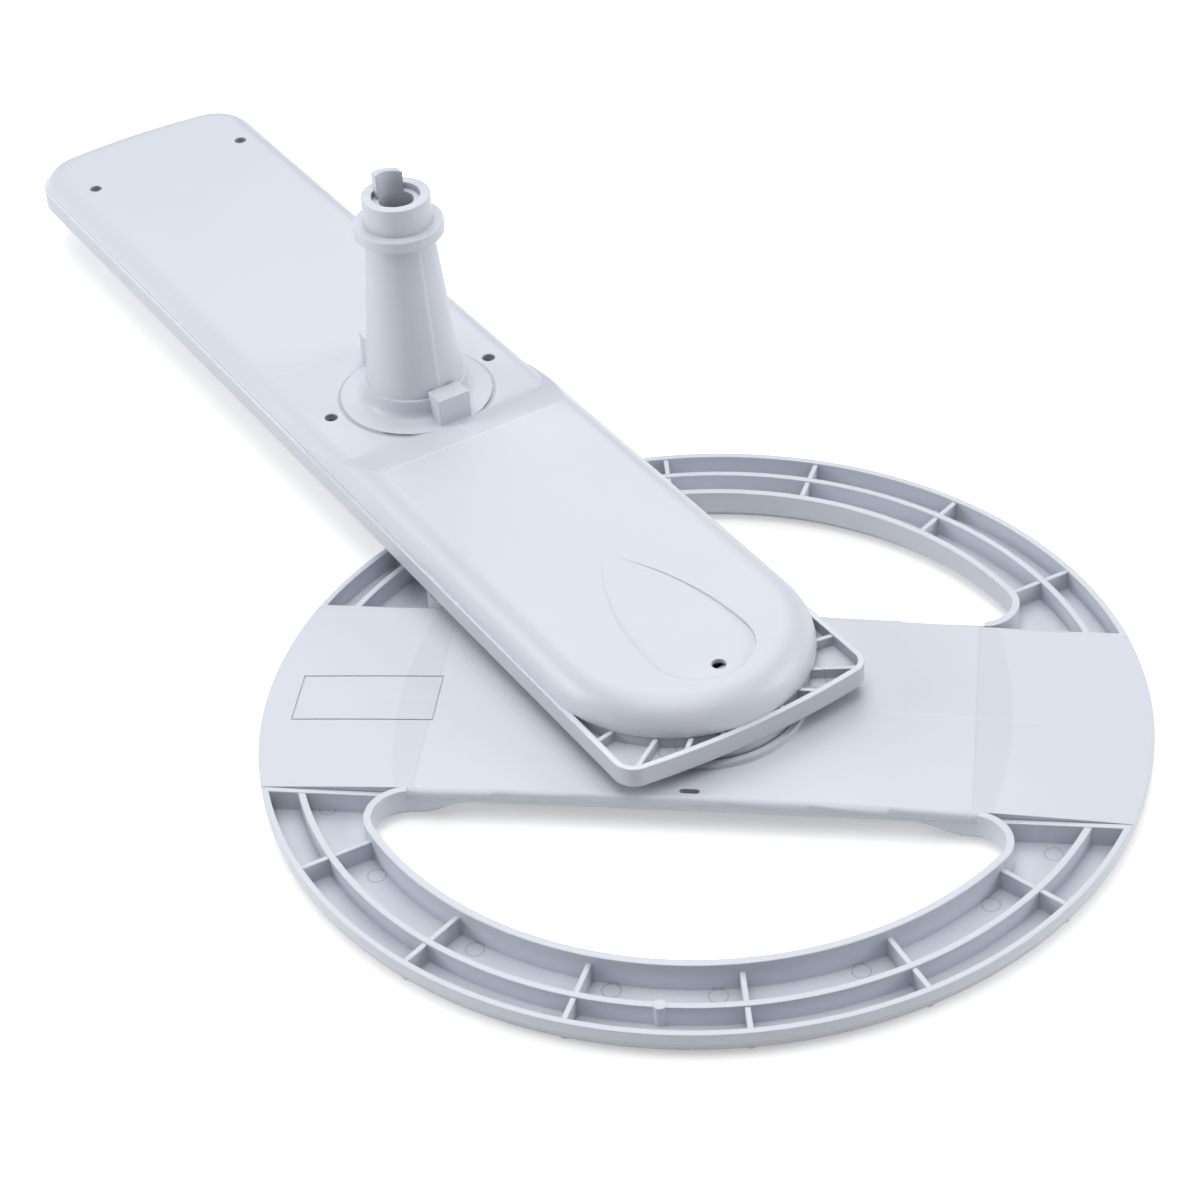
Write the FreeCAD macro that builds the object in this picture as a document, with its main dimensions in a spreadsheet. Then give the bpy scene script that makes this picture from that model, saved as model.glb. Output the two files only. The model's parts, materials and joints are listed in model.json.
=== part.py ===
import FreeCAD, Part

import math
import os

import Sketcher

# Dishwasher spray arm with a geared satellite wheel, in millimetres, stem up as it lies on a bench.
# The origin is on the axis of the feed stem, at the shoulder under its spigot. +X runs along the arm
# to the wheel, and +Z points away from the wheel. The machine holds it the other way up.

os.makedirs("parts", exist_ok=True)
doc = FreeCAD.newDocument("spray_arm")

# Driving dimensions: name, value, meaning
SIZES = [
    # feed stem
    ("spigot_radius", 8.75, "outside of the spigot that plugs into the machine"),
    ("spigot_height", 7.6, "spigot above the shoulder"),
    ("spigot_bore_radius", 6.24, "bore in which the keyed shaft turns"),
    ("bore_guide_length", 14, "length of the close bore below the spigot rim"),
    ("flange_radius", 11.5, "shoulder flange under the spigot"),
    ("flange_thick", 2.9, "thickness of that flange"),
    ("cone_top_radius", 8.6, "stem just under the flange"),
    ("cone_foot_radius", 12.7, "stem where it enters the foot collar"),
    ("stem_wall", 2, "wall of the stem cone"),
    ("stem_height", 52.2, "shoulder to the skin of the arm"),
    ("collar_radius", 13.6, "foot collar round the stem"),
    ("collar_height", 6.1, "foot collar above the skin"),
    ("collar_blend", 2.4, "rounding at the foot of the collar"),
    ("stem_pad_radius", 20, "low round pad on which the collar stands"),
    ("stem_pad_rise", 0.6, "that pad above the skin"),
    ("lug_width", 9, "width of the two lugs beside the foot collar"),
    ("lug_height", 8.2, "lugs above the skin"),
    ("front_lug_reach", 18.5, "outer face of the lug towards the wheel from the stem axis"),
    ("front_lug_side", 1.5, "middle of that lug from the middle line"),
    ("back_lug_reach", 23, "outer face of the opposite lug from the stem axis"),
    ("back_lug_side", 0.6, "middle of the opposite lug from the middle line"),
    # arm shells
    ("arm_reach", 178, "stem axis to the far end of the arm"),
    ("arm_end_corner", 13, "corner radius at the far end"),
    ("far_half_width", 33.6, "half width of the skin over the far stretch"),
    ("far_edge_rounding", 6.4, "rounding along the edge of that skin"),
    ("raised_half_width", 33.5, "half width of the raised skin over the gears, and radius of its end"),
    ("raised_edge_rounding", 7.8, "rounding along the edge of the raised skin"),
    ("skin_raise", 3, "raised skin above the skin of the far stretch"),
    ("ramp_start", 16.7, "stem axis to the foot of the ramp between the two skins"),
    ("ramp_run", 13, "length of that ramp"),
    ("round_end_overhang", 21.9, "round end beyond the satellite axis"),
    ("shell_wall", 2, "wall of both shells"),
    ("stem_shell_depth", 5.1, "seam to the skin of the far stretch"),
    ("nozzle_shell_depth", 5, "seam to the nozzle face"),
    ("rim_half_width", 34.2, "half width of the nozzle shell"),
    ("round_wall_inset", 0.3, "round wall of the nozzle shell inside the edge of the skin"),
    ("plate_overhang", 23.1, "end plate beyond the satellite axis"),
    ("plate_bow_radius", 205, "bow of the end of the plate"),
    ("plate_corner", 5.5, "corner radius of the end plate"),
    ("plate_rim", 1.5, "wall round the ribbed corners of the end plate"),
    ("plate_rib", 1.1, "thickness of the ribs in those corners"),
    ("plate_rib_drop", 0.3, "top of those ribs below the seam"),
    ("plate_slit", 0.3, "narrow end of those corners, where round wall and bow meet"),
    ("pin_hole_radius", 1.75, "small holes in the skin"),
    ("pin_hole_side", 23.8, "those holes from the middle line"),
    ("far_hole_place", 150.7, "stem axis to the holes near the far end"),
    ("stem_hole_place", 3.2, "stem axis to the holes beside the stem"),
    ("end_hole_offset", 7.5, "satellite axis to the single hole over it"),
    ("dish_radius", 13.2, "round end of the drop-shaped dish over the satellite hub"),
    ("dish_offset", 0.8, "satellite axis to the middle of that end"),
    ("dish_bow_radius", 75, "bow of the sides of the dish"),
    ("dish_tip", 2.5, "half width of the blunt tip of the dish"),
    ("dish_depth", 0.9, "depth of the dish at its round end; it runs out to nothing at its tip"),
    ("spray_slot_length", 7, "spray slots in the nozzle face"),
    ("spray_slot_width", 1.8, "width of the spray slots"),
    ("spray_boss_radius", 5.5, "round boss about each spray slot"),
    ("spray_boss_rise", 1, "boss below the nozzle face"),
    # gear train
    ("gear_module", 1.8, "pitch diameter per tooth"),
    ("sun_teeth", 17, "teeth of the sun gear"),
    ("idler_teeth", 29, "teeth of each idler"),
    ("satellite_teeth", 17, "teeth of the gear on the wheel hub"),
    ("pressure_angle", 20, "pressure angle of the teeth in degrees"),
    ("backlash", 0.3, "play between the teeth along the pitch line"),
    ("gear_thick", 4.2, "thickness of the gears"),
    ("gear_lift", 0.7, "gears above the inside floor"),
    ("gear_web", 1.8, "thickness of the idler webs"),
    ("gear_rim", 3, "rim of an idler inside its tooth roots"),
    ("idler_hub_radius", 6, "hub of an idler"),
    ("idler_pin_radius", 3, "steel pin of an idler"),
    ("pin_seat", 1, "depth of the pin seats in both shells"),
    ("sun_hole_radius", 2, "water holes in the web of the sun gear"),
    ("face_gap", 0.1, "axial play of a gear against its neighbour"),
    ("running_gap", 0.06, "radial gap of everything that turns on a pin or in a bore"),
    # keyed shaft
    ("shaft_bore_radius", 4.5, "bore of the keyed shaft"),
    ("shaft_seat_wall", 3, "seat of the shaft on the floor, beyond its bore"),
    ("shaft_rim_drop", 1.5, "end of the shaft tube below the spigot rim"),
    ("key_rise", 4.6, "middle of the key tongue above the spigot rim"),
    ("key_slant", -0.15, "slope of the end of the key tongue"),
    ("key_half_width", 3.7, "half width of the key tongue"),
    ("window_bottom", 46, "lower end of the shaft windows, below the shoulder"),
    ("window_height", 22, "height of the shaft windows"),
    ("window_width", 4, "width of the shaft windows"),
    # satellite wheel
    ("arm_clearance", 6.9, "nozzle face to the top of the wheel rim"),
    ("crossbar_turn", 50.8, "crossbar from the arm, in degrees, as the wheel lies at rest"),
    ("wheel_radius", 105, "outside of the ring"),
    ("wheel_height", 7, "height of the ring"),
    ("wheel_floor", 1.6, "floor of the ring"),
    ("rim_wall", 1.5, "outer wall of the ring"),
    ("wheel_edge_rounding", 4.5, "rounding of the lower outer edge"),
    ("opening_bevel", 3, "bevel of the lower edge of the openings"),
    ("round_rib_inset", 8.8, "outside of the ring to the middle of the round rib in its channel"),
    ("round_rib_thick", 1.6, "thickness of that rib"),
    ("round_rib_drop", 0.1, "top of that rib below the rim"),
    ("opening_inset", 20.3, "outside of the ring to the round side of the openings"),
    ("inner_wall_thick", 1.8, "wall round the openings"),
    ("inner_wall_rise", 1.9, "that wall above the rim"),
    ("opening_corner", 8, "corner radius of the openings"),
    ("rib_thick", 1.2, "thickness of the radial ribs"),
    ("rib_drop", 0.4, "top of the ribs below the rim"),
    ("rib_step_angle", 22, "angle from one radial rib to the next, in degrees"),
    ("post_radius", 1.5, "round post on the rib"),
    ("crossbar_half_width", 33.4, "half width of the cover"),
    ("tray_ledge", 1.5, "tray beyond the edge of the cover"),
    ("tray_span", 63, "half length of the arched underside of the tray"),
    ("tray_rise", 3.6, "rise of that arch"),
    ("tray_side_rise", 6.4, "height of the sloped sides of the tray above the underside"),
    ("tray_side_run", 8.9, "how far those sides slope inward"),
    ("tray_side_wall", 2.2, "upright thickness of those sides"),
    ("cover_crown", 3, "middle of the cover above the rim"),
    ("cover_fall", 3.3, "fall of the cover from its middle to the rim"),
    ("cover_thick", 2.1, "skin of the cover"),
    ("cover_fit", 0.1, "gap beside the cover in its seat"),
    ("cover_edge_rounding", 1.9, "rounded edge of the cover where it reaches over the tray wall"),
    # hub of the wheel
    ("hub_radius", 9, "outside of the hub tube"),
    ("hub_bore_radius", 7, "water bore of the hub tube"),
    ("hub_top_gap", 0.4, "hub tube below the inside ceiling"),
    ("hub_floor_rise", 0.1, "flat round the hub above the crown of the cover"),
    ("lip_radius", 24.7, "outside of the lip round the hub"),
    ("lip_thick", 1.5, "thickness of that lip"),
    ("lip_height", 1.4, "height of that lip"),
    ("skirt_gap", 0.4, "gap between the lip and the skirt of the arm"),
    ("skirt_wall", 1.5, "wall of the skirt"),
    ("washer_thick", 0.5, "thrust washer"),
    ("washer_play", 0.3, "bore of the washer beyond the hub tube"),
    ("bush_wall", 1.9, "wall of the bearing bush"),
    ("bush_flange", 2, "flange of the bush beyond its wall"),
    ("clip_thick", 0.6, "ring clip on the hub tube"),
    ("clip_depth", 0.6, "depth of the groove for the clip"),
    ("clip_reach", 1.6, "clip beyond the hub tube"),
    ("spline_width", 2.4, "width of the two keys between hub and gear"),
    ("spline_height", 1, "height of those keys"),
    ("frame_length", 34.5, "shallow frame on the cover, along the crossbar"),
    ("frame_width", 16.5, "the frame across the crossbar"),
    ("frame_place", 80.2, "middle of the frame from the wheel axis"),
    ("frame_side", -1.3, "middle of the frame across the crossbar"),
    ("frame_line", 0.4, "width of the line of the frame"),
    ("engraving_depth", 0.25, "depth of the frame line below the arched face"),
    ("tray_slot_length", 6, "spray slots in the floor of the tray"),
    ("tray_slot_width", 1.6, "width of those slots"),
    ("cover_slot_length", 4.7, "slot near each edge of the cover"),
    ("cover_slot_width", 1.5, "width of those slots"),
    ("cover_slot_place", 32, "those slots from the middle line of the crossbar"),
]

sheet = doc.addObject("Spreadsheet::Sheet", "Sizes")
for row, (alias, number, meaning) in enumerate(SIZES, start=1):
    sheet.set(f"A{row}", alias)
    sheet.set(f"B{row}", str(number))
    sheet.setAlias(f"B{row}", alias)
    sheet.set(f"C{row}", meaning)
doc.recompute()

# Levels and places that follow from the driving dimensions, as expressions of the sheet
ARM_TOP = "(-Sizes.stem_height)"
RAISED_TOP = f"({ARM_TOP} + Sizes.skin_raise)"
CEILING = f"({ARM_TOP} - Sizes.shell_wall)"
RAISED_CEILING = f"({RAISED_TOP} - Sizes.shell_wall)"
SEAM = f"({ARM_TOP} - Sizes.stem_shell_depth)"
ARM_BASE = f"({SEAM} - Sizes.nozzle_shell_depth)"
FLOOR = f"({ARM_BASE} + Sizes.shell_wall)"
GEAR_BASE = f"({FLOOR} + Sizes.gear_lift)"
GEAR_TOP = f"({GEAR_BASE} + Sizes.gear_thick)"
WHEEL_TOP = f"({ARM_BASE} - Sizes.arm_clearance)"
HUB_FLOOR = f"({WHEEL_TOP} + Sizes.cover_crown + Sizes.hub_floor_rise)"
SKIRT_BASE = f"({HUB_FLOOR} + Sizes.washer_thick)"
SKIRT_RADIUS = "(Sizes.lip_radius - Sizes.lip_thick - Sizes.skirt_gap)"
HUB_TOP = f"({RAISED_CEILING} - Sizes.hub_top_gap)"
SHAFT_RADIUS = "(Sizes.spigot_bore_radius - Sizes.running_gap)"
BUSH_BORE = "(Sizes.hub_radius + Sizes.running_gap)"
BUSH_RADIUS = f"({BUSH_BORE} + Sizes.bush_wall)"
FIRST_CENTRES = "(Sizes.gear_module * (Sizes.sun_teeth + Sizes.idler_teeth) / 2)"
IDLER_CENTRES = "(Sizes.gear_module * Sizes.idler_teeth)"
LAST_CENTRES = "(Sizes.gear_module * (Sizes.idler_teeth + Sizes.satellite_teeth) / 2)"
SECOND_IDLER = f"({FIRST_CENTRES} + {IDLER_CENTRES})"
REACH = f"({SECOND_IDLER} + {LAST_CENTRES})"
ROUND_CENTRE = f"({REACH} + Sizes.round_end_overhang - Sizes.raised_half_width)"
RAMP_END = "(Sizes.ramp_start + Sizes.ramp_run)"
RAMP_FOOT = "(Sizes.ramp_start - Sizes.stem_shell_depth * Sizes.ramp_run / Sizes.skin_raise)"
TRAY_EDGE = "(Sizes.crossbar_half_width + Sizes.tray_ledge)"
CHANNEL_DEPTH = "(Sizes.wheel_height - Sizes.wheel_floor)"
ROUND_RIB_RADIUS = "(Sizes.wheel_radius - Sizes.round_rib_inset)"
OPENING_RADIUS = "(Sizes.wheel_radius - Sizes.opening_inset)"

# How far a cutting shape runs past the faces that it cuts
CLEAR = 1

# Layout choices: x, y and turn in degrees of each spray slot, in the arm and in the tray of the wheel
ARM_SLOTS = ((-160, 12, 30), (-138, -14, -35), (-112, 10, 20), (-84, -12, 0), (-52, 16, 40), (-30, -20, -25))
TRAY_SLOTS = ((-88, 12, 60), (-66, -14, -40), (-42, 16, 25), (44, -16, -25), (68, 12, 45), (90, -10, -60))

# Place on the round wall and heading of each short rib of the end plate, in degrees
PLATE_RIBS = ((58, 80), (40, 57), (26, 48), (14, 14))
SUN_HOLES = 6
RADIAL_RIBS_PER_SIDE = 6


def number(expression):
    """Value of an expression of the sheet."""
    return float(sheet.evalExpression(str(expression)))


def point(x, y):
    return FreeCAD.Vector(x, y, 0)


def line(start, end):
    return Part.LineSegment(point(*start), point(*end))


def arc(start, middle, end):
    return Part.Arc(point(*start), point(*middle), point(*end))


def polygon(corners):
    """Straight lines round a list of corners."""
    return [line(corners[i - 1], corners[i]) for i in range(len(corners))]


def circle(radius):
    return Part.Circle(point(0, 0), FreeCAD.Vector(0, 0, 1), radius)


def new_body(label, x="0", z="0", turn=0.0):
    """A body whose frame stands at x on the middle line, at height z, turned about the vertical."""
    body = doc.addObject("PartDesign::Body", label)
    body.Label = label
    body.Placement.Rotation = FreeCAD.Rotation(FreeCAD.Vector(0, 0, 1), turn)
    body.setExpression("Placement.Base.x", str(x))
    body.setExpression("Placement.Base.z", str(z))
    return body


def new_sketch(body, name, role="XY_Plane", offset="0"):
    """A sketch on one of the body's own origin planes, moved along that plane's normal."""
    plane = next(feature for feature in body.Origin.OriginFeatures if feature.Role == role)
    sketch = body.newObject("Sketcher::SketchObject", name)
    sketch.AttachmentSupport = [(plane, "")]
    sketch.MapMode = "FlatFace"
    sketch.setExpression("AttachmentOffset.Base.z", str(offset))
    return sketch


def draw(sketch, pieces):
    """Adds a closed outline of lines and arcs."""
    sketch.addGeometry(list(pieces), False)
    return sketch


def draw_circle(sketch, radius, x="0", y="0"):
    """Adds a circle whose radius and centre are bound to the sheet."""
    index = sketch.addGeometry(circle(number(radius)), False)
    rules = [
        (Sketcher.Constraint("Radius", index, number(radius)), radius),
        (Sketcher.Constraint("DistanceX", -1, 1, index, 3, number(x)), x),
        (Sketcher.Constraint("DistanceY", -1, 1, index, 3, number(y)), y),
    ]
    for constraint, expression in rules:
        place = sketch.addConstraint(constraint)
        sketch.setExpression(f"Constraints[{place}]", str(expression))
    return sketch


def draw_polygon(sketch, corners):
    """Adds a closed polygon whose corners are pairs of expressions bound to the sheet."""
    places = [(number(x), number(y)) for x, y in corners]
    first = sketch.GeometryCount
    count = len(corners)
    for index in range(count):
        sketch.addGeometry(line(places[index], places[(index + 1) % count]), False)
    for index in range(count):
        following = (index + 1) % count
        sketch.addConstraint(Sketcher.Constraint("Coincident", first + index, 2, first + following, 1))
    for index, (x, y) in enumerate(corners):
        across = Sketcher.Constraint("DistanceX", -1, 1, first + index, 1, places[index][0])
        along = Sketcher.Constraint("DistanceY", -1, 1, first + index, 1, places[index][1])
        for constraint, expression in ((across, x), (along, y)):
            place = sketch.addConstraint(constraint)
            sketch.setExpression(f"Constraints[{place}]", str(expression))
    return sketch


def draw_rectangle(sketch, x_low, x_high, y_low, y_high):
    corners = [(x_low, y_low), (x_high, y_low), (x_high, y_high), (x_low, y_high)]
    return draw_polygon(sketch, corners)


def pad(body, sketch, length, down=False, symmetric=False):
    feature = body.newObject("PartDesign::Pad", f"{sketch.Name}_pad")
    feature.Profile = sketch
    feature.SideType = "Symmetric" if symmetric else "One side"
    feature.Reversed = down
    feature.setExpression("Length", str(length))
    body.Tip = feature
    return feature


def pocket(body, sketch, length, up=False, symmetric=False):
    """Cuts downward from the sketch, or upward, or to both sides, and makes sure that it cut."""
    doc.recompute()
    before = body.Shape.Volume
    feature = body.newObject("PartDesign::Pocket", f"{sketch.Name}_pocket")
    feature.Profile = sketch
    feature.SideType = "Symmetric" if symmetric else "One side"
    feature.Reversed = up
    feature.setExpression("Length", str(length))
    body.Tip = feature
    doc.recompute()
    if feature.Shape.isNull() or feature.Shape.Volume > before - 0.001:
        raise ValueError(f"{feature.Name} cuts nothing")
    return feature


def revolve(body, sketch):
    feature = body.newObject("PartDesign::Revolution", f"{sketch.Name}_turned")
    feature.Profile = sketch
    feature.ReferenceAxis = (sketch, ["V_Axis"])
    feature.Angle = 360
    body.Tip = feature
    return feature


def groove(body, sketch):
    doc.recompute()
    before = body.Shape.Volume
    feature = body.newObject("PartDesign::Groove", f"{sketch.Name}_groove")
    feature.Profile = sketch
    feature.ReferenceAxis = (sketch, ["V_Axis"])
    feature.Angle = 360
    body.Tip = feature
    doc.recompute()
    if feature.Shape.Volume > before - 0.001:
        raise ValueError(f"{feature.Name} cuts nothing")
    return feature


def edges_at(base, height, keep=None):
    """Names of the edges that lie flat at a height of the body's own frame."""
    names = []
    for index, edge in enumerate(base.Shape.Edges, start=1):
        heights = [edge.valueAt(t).z for t in (edge.FirstParameter, edge.LastParameter)]
        heights.append(edge.CenterOfMass.z)
        if max(abs(level - height) for level in heights) < 0.001:
            if keep is None or keep(edge):
                names.append(f"Edge{index}")
    return names


def fillet_at(body, height, radius, keep=None):
    """Rounds the edges at a height."""
    doc.recompute()
    base = body.Tip
    feature = body.newObject("PartDesign::Fillet", f"{base.Name}_rounded")
    feature.Base = (base, edges_at(base, height, keep))
    feature.setExpression("Radius", str(radius))
    body.Tip = feature
    return feature


def chamfer_at(body, height, size, keep=None):
    """Bevels the edges at a height."""
    doc.recompute()
    base = body.Tip
    feature = body.newObject("PartDesign::Chamfer", f"{base.Name}_bevelled")
    feature.Base = (base, edges_at(base, height, keep))
    feature.setExpression("Size", str(size))
    body.Tip = feature
    return feature


def inner_bevel(rounding):
    """Bevel inside a wall that is rounded outside, with about the same wall behind both."""
    return f"((2 - sqrt(2)) * ({rounding} - Sizes.shell_wall))"


def corner_arc(centre, radius, first, second):
    """Arc about centre between two unit directions."""
    middle = (first[0] + second[0], first[1] + second[1])
    size = math.hypot(*middle)
    directions = (first, (middle[0] / size, middle[1] / size), second)
    return arc(*[(centre[0] + radius * x, centre[1] + radius * y) for x, y in directions])


def mirrored(pieces):
    """The same outline on the other side of the middle line, run backwards."""
    result = []
    for piece in reversed(pieces):
        ends = [(spot.x, -spot.y) for spot in (piece.EndPoint, piece.StartPoint)]
        if isinstance(piece, Part.LineSegment):
            result.append(line(*ends))
        else:
            halfway = piece.value((piece.FirstParameter + piece.LastParameter) / 2)
            result.append(arc(ends[0], (halfway.x, -halfway.y), ends[1]))
    return result


def far_end(half_width, inset=0.0):
    """Far end of the arm: an arc about the stem axis and its corners, from +Y to -Y."""
    reach = number("Sizes.arm_reach") - inset
    corner = number("Sizes.arm_end_corner") - inset
    side = half_width - corner
    back = math.sqrt((reach - corner) ** 2 - side**2)
    aim = (-back / (reach - corner), side / (reach - corner))
    upper = corner_arc((-back, side), corner, (0, 1), aim)
    lower = corner_arc((-back, -side), corner, (aim[0], -aim[1]), (0, -1))
    tip = (reach * aim[0], reach * aim[1])
    return [upper, arc(tip, (-reach, 0), (tip[0], -tip[1])), lower]


def round_end(inset=0.0):
    """Half circle over the hub of the wheel, from the side at -Y to the side at +Y."""
    radius = number("Sizes.raised_half_width") - inset
    centre = number(ROUND_CENTRE)
    return [arc((centre, -radius), (centre + radius, 0), (centre, radius))]


def closed(stretches):
    """Joins stretches of outline with straight lines and closes the loop."""
    pieces = []
    for index, stretch in enumerate(stretches):
        following = stretches[(index + 1) % len(stretches)]
        pieces.extend(stretch)
        gap_start = stretch[-1].EndPoint
        gap_end = following[0].StartPoint
        if gap_start.distanceToPoint(gap_end) > 0.001:
            pieces.append(line((gap_start.x, gap_start.y), (gap_end.x, gap_end.y)))
    return pieces


def inner_outline():
    """Inside of both shells of the arm."""
    wall = number("Sizes.shell_wall")
    return closed([far_end(number("Sizes.far_half_width") - wall, wall), round_end(wall)])


def tooth_outline(teeth, phase):
    """Outline of a gear with involute teeth, each flank drawn as two chords of its involute."""
    module = number("Sizes.gear_module")
    pressure = math.radians(number("Sizes.pressure_angle"))
    pitch = module * teeth / 2
    base = pitch * math.cos(pressure)
    tip = pitch + module
    root = pitch - 1.25 * module
    at_pitch = math.pi / 2 / teeth - number("Sizes.backlash") / 4 / pitch

    def half_angle(radius):
        slope = math.acos(base / max(radius, base))
        rise = math.tan(slope) - slope
        return at_pitch + math.tan(pressure) - pressure - rise

    def spot(radius, angle):
        return (radius * math.cos(angle), radius * math.sin(angle))

    corners = []
    for index in range(teeth):
        middle = math.radians(phase) + 2 * math.pi * index / teeth
        corners.extend(spot(radius, middle - half_angle(radius)) for radius in (root, pitch, tip))
        corners.extend(spot(radius, middle + half_angle(radius)) for radius in (tip, pitch, root))
    return polygon(corners)


def next_phase(phase, teeth, next_teeth):
    """Turn of the next gear along +X so that one of its gaps takes the tooth that faces it."""
    return 180 + 180 / next_teeth - phase * teeth / next_teeth


SUN_TEETH = int(number("Sizes.sun_teeth"))
IDLER_TEETH = int(number("Sizes.idler_teeth"))
SATELLITE_TEETH = int(number("Sizes.satellite_teeth"))
SUN_PHASE = 0.0
INNER_PHASE = next_phase(SUN_PHASE, SUN_TEETH, IDLER_TEETH)
OUTER_PHASE = next_phase(INNER_PHASE, IDLER_TEETH, IDLER_TEETH)
SATELLITE_PHASE = next_phase(OUTER_PHASE, IDLER_TEETH, SATELLITE_TEETH)


def skin_block(label, outline, top, depth):
    """A block from a skin, or from the ceiling inside it, down past the seam."""
    body = new_body(label, z=top)
    pad(body, draw(new_sketch(body, f"{label}_outline"), outline), f"{top} - {SEAM} + {depth}", down=True)
    return body


def far_skin():
    """Skin of the far stretch, which runs on under the ramp."""
    width = number("Sizes.far_half_width")
    end = number(RAMP_END)
    outline = closed([far_end(width), [line((end, -width), (end, width))]])
    body = skin_block("far_skin", outline, ARM_TOP, "Sizes.far_edge_rounding")
    fillet_at(body, 0, "Sizes.far_edge_rounding", keep=lambda edge: edge.CenterOfMass.x < end - 0.01)
    return body


def raised_block(label, inset="0"):
    """The raised stretch over the gears with its ramp, or the room inside it at a wall's inset."""
    foot = number(RAMP_FOOT)
    side = number(f"Sizes.raised_half_width - {inset}")
    outline = closed([round_end(number(inset)), [line((foot, side), (foot, -side))]])
    return skin_block(label, outline, f"({RAISED_TOP} - {inset})", "Sizes.raised_edge_rounding")


def cut_ramp(body):
    """Slopes the start of a raised block down to the far skin and on below the seam."""
    ramp = new_sketch(body, f"{body.Label}_ramp", "XZ_Plane")
    drop = "(-Sizes.skin_raise - Sizes.stem_shell_depth)"
    draw_polygon(ramp, [
        (RAMP_FOOT, drop),
        (RAMP_END, "0"),
        (RAMP_END, str(CLEAR)),
        (f"{RAMP_FOOT} - {CLEAR}", str(CLEAR)),
        (f"{RAMP_FOOT} - {CLEAR}", drop),
    ])
    pocket(body, ramp, "2 * Sizes.rim_half_width", symmetric=True)
    return body


def raised_skin():
    """Raised skin over the gears."""
    body = raised_block("raised_skin")
    foot = number(RAMP_FOOT)
    fillet_at(body, 0, "Sizes.raised_edge_rounding", keep=lambda edge: edge.CenterOfMass.x > foot + 0.01)
    return cut_ramp(body)


def raised_cavity():
    """Room under the raised skin, with the seats of the idler pins in its ceiling."""
    body = raised_block("raised_cavity", "Sizes.shell_wall")
    foot = number(RAMP_FOOT)
    bevel = inner_bevel("Sizes.raised_edge_rounding")
    chamfer_at(body, 0, bevel, keep=lambda edge: edge.CenterOfMass.x > foot + 0.01)
    cut_ramp(body)
    seats = new_sketch(body, "ceiling_seats")
    for place in (FIRST_CENTRES, SECOND_IDLER):
        draw_circle(seats, "Sizes.idler_pin_radius", place)
    pad(body, seats, "Sizes.pin_seat")
    return body


def hub_dish():
    """What the drop-shaped dish takes out of the skin over the hub; its floor rises to its tip."""
    body = new_body("hub_dish", x=f"{REACH} - Sizes.dish_offset", z=RAISED_TOP)
    radius = number("Sizes.dish_radius")
    bow = number("Sizes.dish_bow_radius")
    tip = number("Sizes.dish_tip")
    low = radius - bow
    tip_x = -math.sqrt(bow**2 - (tip - low) ** 2)
    half = math.asin(-tip_x / bow) / 2
    side = (-bow * math.sin(half), low + bow * math.cos(half))
    blunt = tip_x - tip / 2
    outline = [
        arc((0, -radius), (radius, 0), (0, radius)),
        arc((0, radius), side, (tip_x, tip)),
        arc((tip_x, tip), (blunt, 0), (tip_x, -tip)),
        arc((tip_x, -tip), (side[0], -side[1]), (0, -radius)),
    ]
    mouth = draw(new_sketch(body, "dish_outline", offset=str(CLEAR)), outline)
    pad(body, mouth, f"Sizes.dish_depth + {CLEAR}", down=True)
    depth = number("Sizes.dish_depth")
    below = -depth - CLEAR
    under = [(blunt, 0), (radius, -depth), (radius, below), (blunt - CLEAR, below), (blunt - CLEAR, 0)]
    floor = draw(new_sketch(body, "under_dish", "XZ_Plane"), polygon(under))
    pocket(body, floor, "2 * Sizes.dish_radius", symmetric=True)
    return body


def stem_column():
    """Spigot, flange, cone and foot collar, turned about the stem axis, with the lugs."""
    body = new_body("stem_column")
    sketch = new_sketch(body, "stem_profile", "XZ_Plane")
    foot = f"({ARM_TOP} - Sizes.shell_wall / 2)"
    pad_top = f"({ARM_TOP} + Sizes.stem_pad_rise)"
    ledge = f"({ARM_TOP} + Sizes.collar_height)"
    draw_polygon(sketch, [
        ("0", foot),
        ("Sizes.stem_pad_radius", foot),
        ("Sizes.stem_pad_radius", pad_top),
        ("Sizes.collar_radius", pad_top),
        ("Sizes.collar_radius", ledge),
        ("Sizes.cone_foot_radius", ledge),
        ("Sizes.cone_top_radius", "-Sizes.flange_thick"),
        ("Sizes.flange_radius", "-Sizes.flange_thick"),
        ("Sizes.flange_radius", "0"),
        ("Sizes.spigot_radius", "0"),
        ("Sizes.spigot_radius", "Sizes.spigot_height"),
        ("0", "Sizes.spigot_height"),
    ])
    revolve(body, sketch)
    inside_pad = number("Sizes.stem_pad_radius") - 0.01
    fillet_at(body, number(pad_top), "Sizes.collar_blend", keep=lambda edge: edge.BoundBox.XMax < inside_pad)
    lugs = new_sketch(body, "lugs", offset=foot)
    for sign, name in (("", "front"), ("-", "back")):
        inner = f"{sign}(Sizes.collar_radius - Sizes.stem_wall / 2)"
        outer = f"{sign}Sizes.{name}_lug_reach"
        middle = f"Sizes.{name}_lug_side"
        low = f"{middle} - Sizes.lug_width / 2"
        draw_rectangle(lugs, inner, outer, low, f"{middle} + Sizes.lug_width / 2")
    pad(body, lugs, "Sizes.lug_height + Sizes.shell_wall / 2")
    return body


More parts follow.
